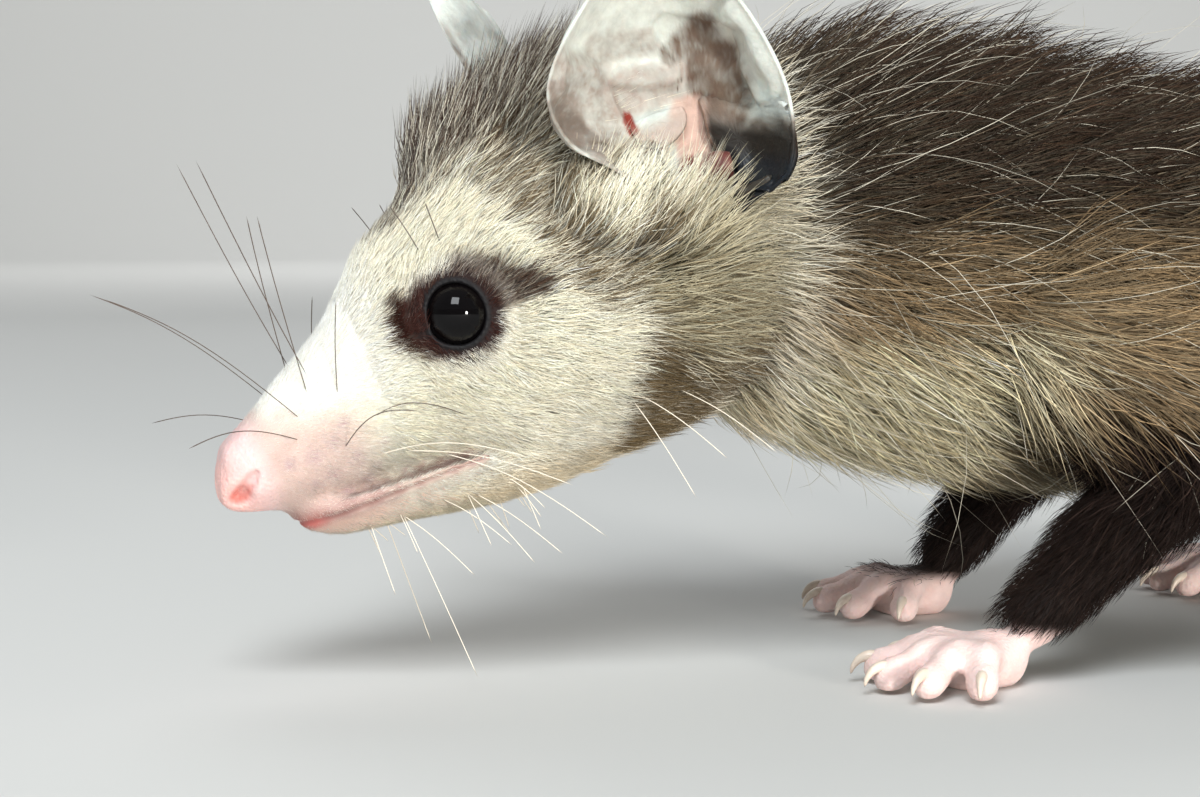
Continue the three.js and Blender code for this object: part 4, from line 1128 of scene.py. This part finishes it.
wetEye = eyeMaterial()
for sideName, sign in sides.items():
    centre, gaze = eyeFrame(sign)[:2]
    ball = bmesh.new()
    bmesh.ops.create_icosphere(ball, subdivisions=4, radius=1)
    directions = np.array([v.co[:] for v in ball.verts])
    ahead = directions @ gaze
    offAxis = np.linalg.norm(directions - gaze * ahead[:, None], axis=1)
    cornea = np.where(ahead > 0, eyeLook["cornea"] * (1 - smoothStep(0.35, 0.75, offAxis)), 0)
    places = toScene(centre + directions * (eyeSizes["ball"] + cornea)[:, None])
    for vert, place in zip(ball.verts, places):
        vert.co = place
    mesh = bpy.data.meshes.new(f"eye{sideName.title()}")
    ball.to_mesh(mesh)
    ball.free()
    eye = addPiece(mesh, wetEye)
    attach(eye, "root")
    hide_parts(f"eye_{sideName}")
print("eyes made")


# Claws
clawLook = dict(
    base=(0.62, 0.47, 0.38, 1), tip=(0.80, 0.72, 0.60, 1), streak=1200.0,
    rough=(0.3, 0.45), bump=(0.2, 0.0001),
)


def clawMaterial():
    add, finish = newMaterial("claw")
    streak = texture(add, "ShaderNodeTexNoise", Scale=clawLook["streak"], Detail=3.0)
    return finish({
        "Base Color": mixed(add, clawLook["base"], clawLook["tip"], streak),
        "Roughness": ranged(add, streak, *clawLook["rough"]),
        "Normal": bumped(add, streak, *clawLook["bump"]),
    })


def clawParts():
    parts = []
    for side in sides.values():
        for leg in (foreLeg, hindLeg):
            foot = placedLeg(leg, side)[2]
            for angle, length, root in leg["toes"]:
                if angle < -90:
                    continue  # the hind thumb has no claw
                end = root + length
                run = [(end - 0.4, 2.9, 0.5), (end + 0.6, 2.95, 0.6), (end + 1.6, 2.6, 0.46),
                       (end + 2.3, 1.8, 0.28), (end + 2.55, 1.0, 0.1)]
                places = [[*footPlace(foot, side, angle, far, above), r] for far, above, r in run]
                parts.append(roundRun(places, 12, 10, (0, 0, 1)))
    return parts


claws = makeObject("claws", *joinParts(clawParts()), clawMaterial())
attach(claws, "root")

# Whiskers: root as ahead, out and up, the way to the tip, bow, thickness, and 1 where dark
whiskerTable = [
    ((16, -4, -1), (3.2, -3, 24), -1.5, 0.085, 1),
    ((16.7, 5.2, -3.3), (-1.8, -2, 19), 1.5, 0.085, 1),
    ((14.5, 6.7, -5), (-3.6, -0.5, 10.4), 0.6, 0.07, 1),
    ((17.7, 5.4, -5.5), (14.5, 1.5, 19), 2.0, 0.08, 1),
    ((13.2, 7.3, -7.4), (-9.9, 3.6, -2.2), 2.0, 0.08, 1),
    ((12, 6.2, -17.3), (-0.7, 3.5, -17.8), 0.8, 0.09, 0),
    ((6.5, 9.4, -12.6), (-11.3, 6.5, -12.9), 1.6, 0.09, 0),
    ((4.5, 7.6, -18), (-5.5, 3.6, -8.4), 0.6, 0.07, 0),
    ((-18, 12.5, -15), (-6.5, 3.5, -9.3), 0.8, 0.09, 0),
    ((-13, 12.4, -14.2), (-2, 2.8, -11.2), 0.8, 0.09, 0),
    ((-13.5, 12.6, -13.6), (-5.8, 3.2, -9.2), 0.7, 0.09, 0),
    ((18.5, 5.2, -7), (12, 9, 5), 1.5, 0.07, 1),
    ((15.5, 6.6, -9), (-6, 12, 3), 1.6, 0.075, 1),
    ((12.5, 8.2, -10.5), (-12, 9, -4), 1.4, 0.08, 0),
    ((10, 8.8, -11), (-13, 8, -8), 1.2, 0.08, 0),
    ((-0.4, 9.6, 6.6), (0.4, 0.8, 5), 0.3, 0.06, 1),
    ((1.6, 8.6, 6.8), (1.6, 0.6, 5.6), 0.3, 0.06, 1),
]
whiskerSizes = dict(short=9, seed=11, dark=(92, 80, 72), pale=(234, 224, 206))


def whiskerParts():
    random = np.random.default_rng(whiskerSizes["seed"])
    table = []
    for side in sides.values():
        table += [(side, *row) for row in whiskerTable]
        for _ in range(whiskerSizes["short"]):  # short pale ones along the lower lip and chin
            ahead = random.uniform(-2, 19)
            out = 3.5 + 4.4 * smoothStep(19, 8, ahead) * random.uniform(0.6, 1)
            way = (random.uniform(-5, 0.5), random.uniform(0.5, 3), -random.uniform(4, 10))
            table.append((side, (ahead, out, -17.2 - random.uniform(0, 0.8)), way, 0.6, 0.045, 0))
    parts, shade = [], []
    for side, (ahead, out, up), (da, do, du), bow, thick, dark in table:
        t = np.linspace(0, 1, 9)
        bend = bow * np.sin(pi * t)
        run = headPoint(ahead + da * t, side * (out - 0.6 + (do + 0.6) * t), up + du * t + bend)
        sizes = thick * (0.64 - 0.12 * dark) * (1 - 0.85 * t)
        parts.append(roundRun([[*p, r] for p, r in zip(run, sizes)], 16, 6, (0.3, 0.5, 0.8)))
        shade += [dark] * len(parts[-1][0])
    return parts, np.array(shade)


parts, shade = whiskerParts()
whiskers = makeObject("whiskers", *joinParts(parts), furCoat)
whiskerTone = blend(linear(whiskerSizes["pale"]), linear(whiskerSizes["dark"]), shade)
setColour(whiskers.data, "coatColour", whiskerTone)
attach(whiskers, "root")
print("claws and whiskers made")

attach(skin, "root")
fleshNodes = ["head", "nose", "jaw", "neck", "chest", "belly"]
for sideName in sides:
    fleshNodes += [f"{part}_{sideName}" for part in
                   ("upper_arm", "forearm", "forefoot", "thigh", "shin", "hindfoot")]
fleshNodes += [f"tail_{i}" for i in range(1, 5)]
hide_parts(*fleshNodes)

# The coat: tapered hairs of solid mesh, clumped into tufts
coatSizes = dict(sink=0.25, seed=5, patch=0.0014, short=2.1, lowest=0.05)


def legShares(points):  # how much a place belongs to a fore or a hind leg
    behind, above, out = points[:, 0], points[:, 2], abs(points[:, 1])
    f = headPlace(points)[0]
    fore = smoothStep(30, 24, above) * smoothStep(13, 17, out) * (f < -30)
    fore = fore * (behind > 46) * (behind < 94)
    hind = smoothStep(33, 25, above) * smoothStep(13, 18, out) * (behind >= 94) * (behind < 140)
    return fore, hind


def coatRules(points, normals):
    f, left, u = headPlace(points)
    out = abs(left)
    behind, above = points[:, 0], points[:, 2]
    side = np.sign(left)[:, None]
    onBody = smoothStep(-24, -36, f + 0.3 * u)
    fore, hind = legShares(points)

    length = np.interp(f, [-30, -14, -4, 3, 9, 15, 20, 24], [7, 5.6, 4.4, 3.3, 2.3, 1.5, 1.0, 0.7])
    rise = np.interp(f, [-30, -12, 0, 8, 16, 22], [24, 17, 14, 12, 12, 14])
    crown = smoothStep(9, 14, u) * smoothStep(3, -3, f)
    length = length + 3.4 * crown
    rise = rise + 33 * crown
    ruff = capsule(f, u, (-24, -6), (-36, 0), 9, 8) * (out > 6)
    length = length + 2.6 * ruff
    rise = rise + 8 * ruff
    eyes = fromEye(f, u)
    nearEye = (1 - smoothStep(1.2, 2.8, eyes)) * (out > 6)
    length = length * (1 - 0.62 * nearEye)
    rise = rise + 15 * nearEye
    nearMouth = np.exp(-((u - mouthAt(f)) / 1.6) ** 2) * smoothStep(-3, 3, f)
    length = length * (1 - 0.55 * nearMouth)
    length = length * (1 - 0.35 * smoothStep(-16, -19, u) * (f > -6))

    bodyLength = np.interp(behind, [30, 40, 60, 90, 130, 150, 160, 172], [8, 12, 13.5, 14, 14, 11, 7, 3])
    bodyLength = bodyLength * (0.68 + 0.32 * smoothStep(16, 42, above))
    length = blendNumber(length, bodyLength, onBody)
    nape = smoothStep(50, 60, above) * smoothStep(84, 60, behind)
    bodyRise = 15 + 8 * smoothStep(38, 56, above) * smoothStep(110, 70, behind) + 9 * nape
    rise = blendNumber(rise, bodyRise, onBody)
    length = blendNumber(length, np.interp(above, [5, 9, 16, 26], [1.6, 4.0, 5.6, 9]), fore)
    length = blendNumber(length, np.interp(above, [5, 9, 16, 30], [1.4, 3.6, 5.6, 9]), hind)
    rise = blendNumber(rise, 13, fore)
    rise = blendNumber(rise, 10, hind)

    down = 0.45 * smoothStep(2, -12, u) - 0.12 * smoothStep(4, 14, u)
    lie = -forward - down[:, None] * crownward
    lie = lie + side * np.array([0, -1, 0]) * (0.10 * smoothStep(8, -4, f))[:, None]
    radial = unit((f - eyeSizes["ahead"])[:, None] * forward + u[:, None] * crownward)
    nearness = np.exp(-np.maximum(eyes - 1, 0) / 0.8) * (out > 6)
    around = np.sign(u + 0.6)[:, None] * crownward
    lie = lie + nearness[:, None] * (0.9 * radial + 0.7 * around)
    bodyLie = np.array([1.0, 0, 0]) + np.array([0, 0, -1.0]) * (0.5 * smoothStep(52, 30, above))[:, None]
    underEar = capsule(f, u, (-14, 4.5), (-20.5, -0.5), 4, 3.4) * (out > 8)
    rise = rise + 24 * underEar * (1 - onBody)  # it hides the lower edge of the ear
    length = length + 1.4 * underEar * (1 - onBody)
    lie = blend(unit(lie), unit(-0.7 * forward + 0.7 * crownward), 0.9 * underEar)
    # behind the ear the hair fans out round it
    fromEar = np.hypot(f + 25, u - 9)
    fan = np.exp(-((fromEar - 11) / 6) ** 2) * smoothStep(-25, -29, f) * (out > 5)
    earRadial = ((f + 25) / fromEar)[:, None] * forward + ((u - 9) / fromEar)[:, None] * crownward
    lie = unit(lie) + 1.1 * fan[:, None] * earRadial
    rise = rise + 12 * fan
    lie = blend(unit(lie), bodyLie, onBody)
    lie = blend(lie, np.array([-0.72, 0, -0.69]), fore)
    lie = blend(lie, np.array([0.5, 0, -0.86]), hind)
    onTail = smoothStep(146, 152, behind)
    lie = blend(lie, unit(np.array([1.0, 0, -1.0])), onTail * smoothStep(48, 40, above))
    lie = lie - normals * (lie * normals).sum(1, keepdims=True)
    width = np.interp(length, [0.6, 2, 4, 7, 12, 16], [0.06, 0.07, 0.085, 0.11, 0.14, 0.17])
    width = width * np.interp(behind, [60, 110], [1, 1.5])
    return length, width, rise, unit(lie), onBody


def coatDensity(points):  # hairs for each square millimetre, before the total is set
    f, left, u = headPlace(points)
    behind, above, out = points[:, 0], points[:, 2], abs(points[:, 1])
    density = np.interp(f, [-34, -14, -2, 6, 14, 20, 23.2, 24.4], [5, 7, 10, 13, 16, 14, 6, 0])
    onBody = smoothStep(-24, -36, f + 0.3 * u)
    bodyDensity = np.interp(
        behind, [36, 60, 80, 100, 150, 158, 176, 186], [3.0, 2.6, 1.7, 0.9, 0.9, 1.6, 1.4, 0])
    density = blendNumber(density, bodyDensity, onBody)
    fore, hind = legShares(points)
    density = blendNumber(density, 4.5, fore)
    density = blendNumber(density, 2.0, hind)
    bareFoot = smoothStep(5.0, 7.2, above + 0.12 * np.where(behind < 96, behind - 56, 0))
    density = density * np.where(behind > 36, bareFoot, 1)
    density = density * np.where(left > 0, 1.12, 0.82)  # the near side shows more closely
    for side in sides.values():
        rho, g = eyeOpening(points, side)[:2]
        density = density * np.where((g > -2) & (left * side > 6), smoothStep(1.08, 1.2, rho), 1)
    mouth = np.exp(-((u - mouthAt(f)) / 0.55) ** 2) * smoothStep(0, 4, f)
    density = density * (1 - 0.9 * mouth)
    # bare where the ear grows
    inEar = np.hypot((f + 24.8) / 6.4, (u - 7.6) / 8.8)
    density = density * np.where(out > 8, smoothStep(0.72, 1.0, inEar), 1)
    return density


def skinTriangles():
    mesh = skin.data
    mesh.calc_loop_triangles()
    corners = numbersOf(mesh.loop_triangles, "vertices", 3, np.int32)
    loops = numbersOf(mesh.loop_triangles, "loops", 3, np.int32)
    uv = numbersOf(mesh.uv_layers["OFBake"].uv, "vector", 2)
    return pointsOf(mesh)[corners], normalsOf(mesh)[corners], uv[loops]


def sowRoots(corners, normals, uvs, weight, count, random):
    edge1, edge2 = corners[:, 1] - corners[:, 0], corners[:, 2] - corners[:, 0]
    area = np.linalg.norm(np.cross(edge1, edge2), axis=1) / 2
    total = np.cumsum(area * weight)
    at = (np.arange(count) + random.random(count)) / count * total[-1]
    chosen = np.minimum(np.searchsorted(total, at), len(total) - 1)
    a, b = random.random(count), random.random(count)
    flip = a + b > 1
    a, b = np.where(flip, 1 - a, a), np.where(flip, 1 - b, b)
    share = np.stack([1 - a - b, a, b], -1)[..., None]
    return ((corners[chosen] * share).sum(1), unit((normals[chosen] * share).sum(1)),
            (uvs[chosen] * share).sum(1))


def clumpCentres(roots, step, random):
    chosen = random.permutation(len(roots))[: max(len(roots) // step, 1)]
    tree = treeOf(roots[chosen])
    return chosen[[tree.find(p)[1] for p in roots]]


def growHairs(roots, normals, uvs, rules, colours, random, clump):
    length, width, rise, lie, _ = rules
    n, rings = len(roots), clump["rings"]
    length = length * random.uniform(0.66, 1.22, n)
    angle = np.radians(rise) * random.uniform(0.55, 1.5, n)
    aside = np.cross(lie, normals)
    gust = roughly(roots, clump["gust"], 60)[:, None] * 0.5
    swing = random.normal(0, 0.2, n)[:, None] + gust
    lie = unit(lie + aside * swing)
    aside = np.cross(lie, normals)
    curl = random.normal(0, clump["curl"], n) * length
    stations = np.linspace(0, 1, rings + 1)
    lines = []
    for s in stations:
        bend = np.sin(s * pi / 2 * 0.9)
        p = roots + lie * (length * s * np.cos(angle * 0.8))[:, None]
        p = p + normals * (length * np.sin(angle) * bend - coatSizes["sink"] * (s == 0))[:, None]
        lines.append(p + aside * (curl * s * s)[:, None])
    centre = clumpCentres(roots, clump["of"], random)
    pulled = []
    for s, p in zip(stations, lines):
        pull = clump["pull"] * s**1.4 * random.uniform(0.5, 1, n)
        pulled.append(p + (p[centre] - p) * pull[:, None])
    lines = pulled

    count = 3 * rings + 1
    verts = np.empty((n, count, 3), np.float32)
    shade = np.empty((n, count, 3), np.float32)
    patch = np.empty((n, count, 2), np.float32)
    rootTone, tipTone = colours
    taper = np.sqrt(1 - 0.72 * stations[:-1] ** 1.5)
    for k in range(rings):
        along = unit(lines[k + 1] - lines[max(k - 1, 0)])
        flat = unit(np.cross(along, normals))
        thick = np.cross(flat, along)
        for j, turn in enumerate((pi / 2, pi * 7 / 6, pi * 11 / 6)):
            reach = flat * cos(turn) + thick * (sin(turn) * 0.7)
            verts[:, 3 * k + j] = lines[k] + reach * (width * taper[k] / 2)[:, None]
            step = np.array([cos(turn), sin(turn)]) * (1 - 0.15 * k)
            patch[:, 3 * k + j] = uvs + coatSizes["patch"] * step
        tipShare = float(smoothStep(0.0, 0.55, stations[k]))
        shade[:, 3 * k : 3 * k + 3] = blend(rootTone, tipTone, np.full(n, tipShare))[:, None]
    verts[:, -1] = lines[-1]
    shade[:, -1] = tipTone
    patch[:, -1] = uvs
    faces = [(0, 2, 1)]
    for k in range(rings - 1):
        a = 3 * k
        for j in range(3):
            b, c = a + j, a + (j + 1) % 3
            faces += [(b, c, c + 3), (b, c + 3, b + 3)]
    a = 3 * (rings - 1)
    faces += [(a + j, a + (j + 1) % 3, count - 1) for j in range(3)]
    return verts, shade, patch, np.array(faces)


def coatPiece(name, verts, shade, patch, faces, slot):
    n, count, _ = verts.shape
    index = (np.arange(n)[:, None, None] * count + faces[None]).reshape(-1, 3).astype(np.int32)
    mesh = bpy.data.meshes.new(name)
    mesh.vertices.add(n * count)
    mesh.vertices.foreach_set("co", toScene(verts.reshape(-1, 3)).astype(np.float32).ravel())
    mesh.loops.add(index.size)
    mesh.loops.foreach_set("vertex_index", index.ravel())
    mesh.polygons.add(len(index))
    mesh.polygons.foreach_set("loop_start", np.arange(0, index.size, 3, dtype=np.int32))
    mesh.update(calc_edges=True)
    layer = mesh.uv_layers.new(name="OFBake")
    layer.uv.foreach_set("vector", patch.reshape(-1, 2)[index.ravel()].astype(np.float32).ravel())
    setColour(mesh, "coatColour", shade.reshape(-1, 3))
    piece = addPiece(mesh, furCoat)
    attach(piece, "root")
    return len(index)


def hairColours(roots, random):
    tip, root, darkShare, other = zones(roots)
    n = len(roots)
    tuft = 0.5 + 0.6 * roughly(roots, 0.8, 40)
    onBody = smoothStep(32, 40, roots[:, 0])
    lot = 0.7 * random.random(n) + 0.3 * tuft
    dark = smoothStep(-0.28, 0.28, darkShare - lot) * smoothStep(0, 0.3, darkShare)
    tip = blend(tip, other, dark)
    root = blend(root, other * 1.3, dark * (0.5 + 0.5 * smoothStep(0.8, 0.95, darkShare)))
    spread = random.normal(0, 0.10 + 0.24 * onBody)
    value = np.exp(spread + 0.5 * onBody * roughly(roots, 0.5, 77))[:, None]
    warm = 1 + random.normal(0, 0.03, n)[:, None] * np.array([1, 0, -1.4])
    return np.clip(root * value * warm, 0, 0.92), np.clip(tip * value * warm, 0, 0.95)


# hairs, rings a hair, most hairs a piece, hairs a clump, how far they are drawn together, how
# unruly they are, and the slot
coatTable = dict(
    coatFace=(42000, 1, 48000, 5, 0.2, 0.6, 0.05, "coat_pale"),
    coatHead=(63000, 2, 19000, 6, 0.34, 0.5, 0.13, "coat_pale"),
    coatBody=(40000, 3, 12000, 7, 0.4, 0.3, 0.14, "coat_dark"),
    coatGuard=(1150, 5, 12000, 1, 0, 0.3, 0.3, "coat_dark"),
)


def guardRules(rules, normals, random):  # long pale hairs that stand out of the body's coat
    length, width, rise, lie, onBody = rules
    n = len(length)
    length = (7 + 8.5 * random.random(n)) * (0.6 + 0.4 * onBody) + 0.4 * length
    top = smoothStep(0, 0.8, normals[:, 2])
    rise = blendNumber(9 + 9 * random.random(n), 17 + 16 * random.random(n), top)
    return length, random.uniform(0.08, 0.11, n), rise, lie, onBody


def makeCoat():
    random = np.random.default_rng(coatSizes["seed"])
    corners, normals, uvs = skinTriangles()
    middles = corners.mean(1)
    density = coatDensity(middles)
    f, _, u = headPlace(middles)
    onHead = f + 0.3 * u > -27
    behind = middles[:, 0]
    short = onHead & (coatRules(middles, normals.mean(1))[0] < coatSizes["short"])
    onTrunk = (behind > 30) & (f < -27) & (behind < 146) & (middles[:, 2] > 24)
    sown = dict(
        coatFace=density * short, coatHead=density * (onHead & ~short), coatBody=density * ~onHead,
        coatGuard=onTrunk * np.interp(behind, [30, 42, 60, 90, 146], [5, 3, 1.6, 1, 0.6]),
    )
    total = 0
    for region, row in coatTable.items():
        clump = dict(zip(("count", "rings", "most", "of", "pull", "gust", "curl", "slot"), row))
        count, most, weight = clump["count"], clump["most"], sown[region]
        where = np.flatnonzero(weight > 0.01)
        roots, outward, places = sowRoots(
            corners[where], normals[where], uvs[where], weight[where], count, random)
        order = np.argsort(roots[:, 0])  # each piece is one length of the animal
        roots, outward, places = roots[order], outward[order], places[order]
        rules = coatRules(roots, outward)
        seen = roots + rules[3] * (0.55 * rules[0])[:, None]  # the part of each hair that shows
        colours = hairColours(seen, random)
        if region == "coatGuard":
            rules = guardRules(rules, outward, random)
            pale = tone["guard"] * random.uniform(0.4, 0.95, count)[:, None]
            colours = (pale * 0.5, pale)
        verts, shade, patch, faces = growHairs(roots, outward, places, rules, colours, random, clump)
        verts[..., 2] = np.maximum(verts[..., 2], coatSizes["lowest"])
        for i, start in enumerate(range(0, count, most)):
            part = slice(start, start + most)
            name = f"{region}{i + 1}"
            total += coatPiece(name, verts[part], shade[part], patch[part], faces, clump["slot"])
    return total


print("coat", makeCoat(), "triangles")
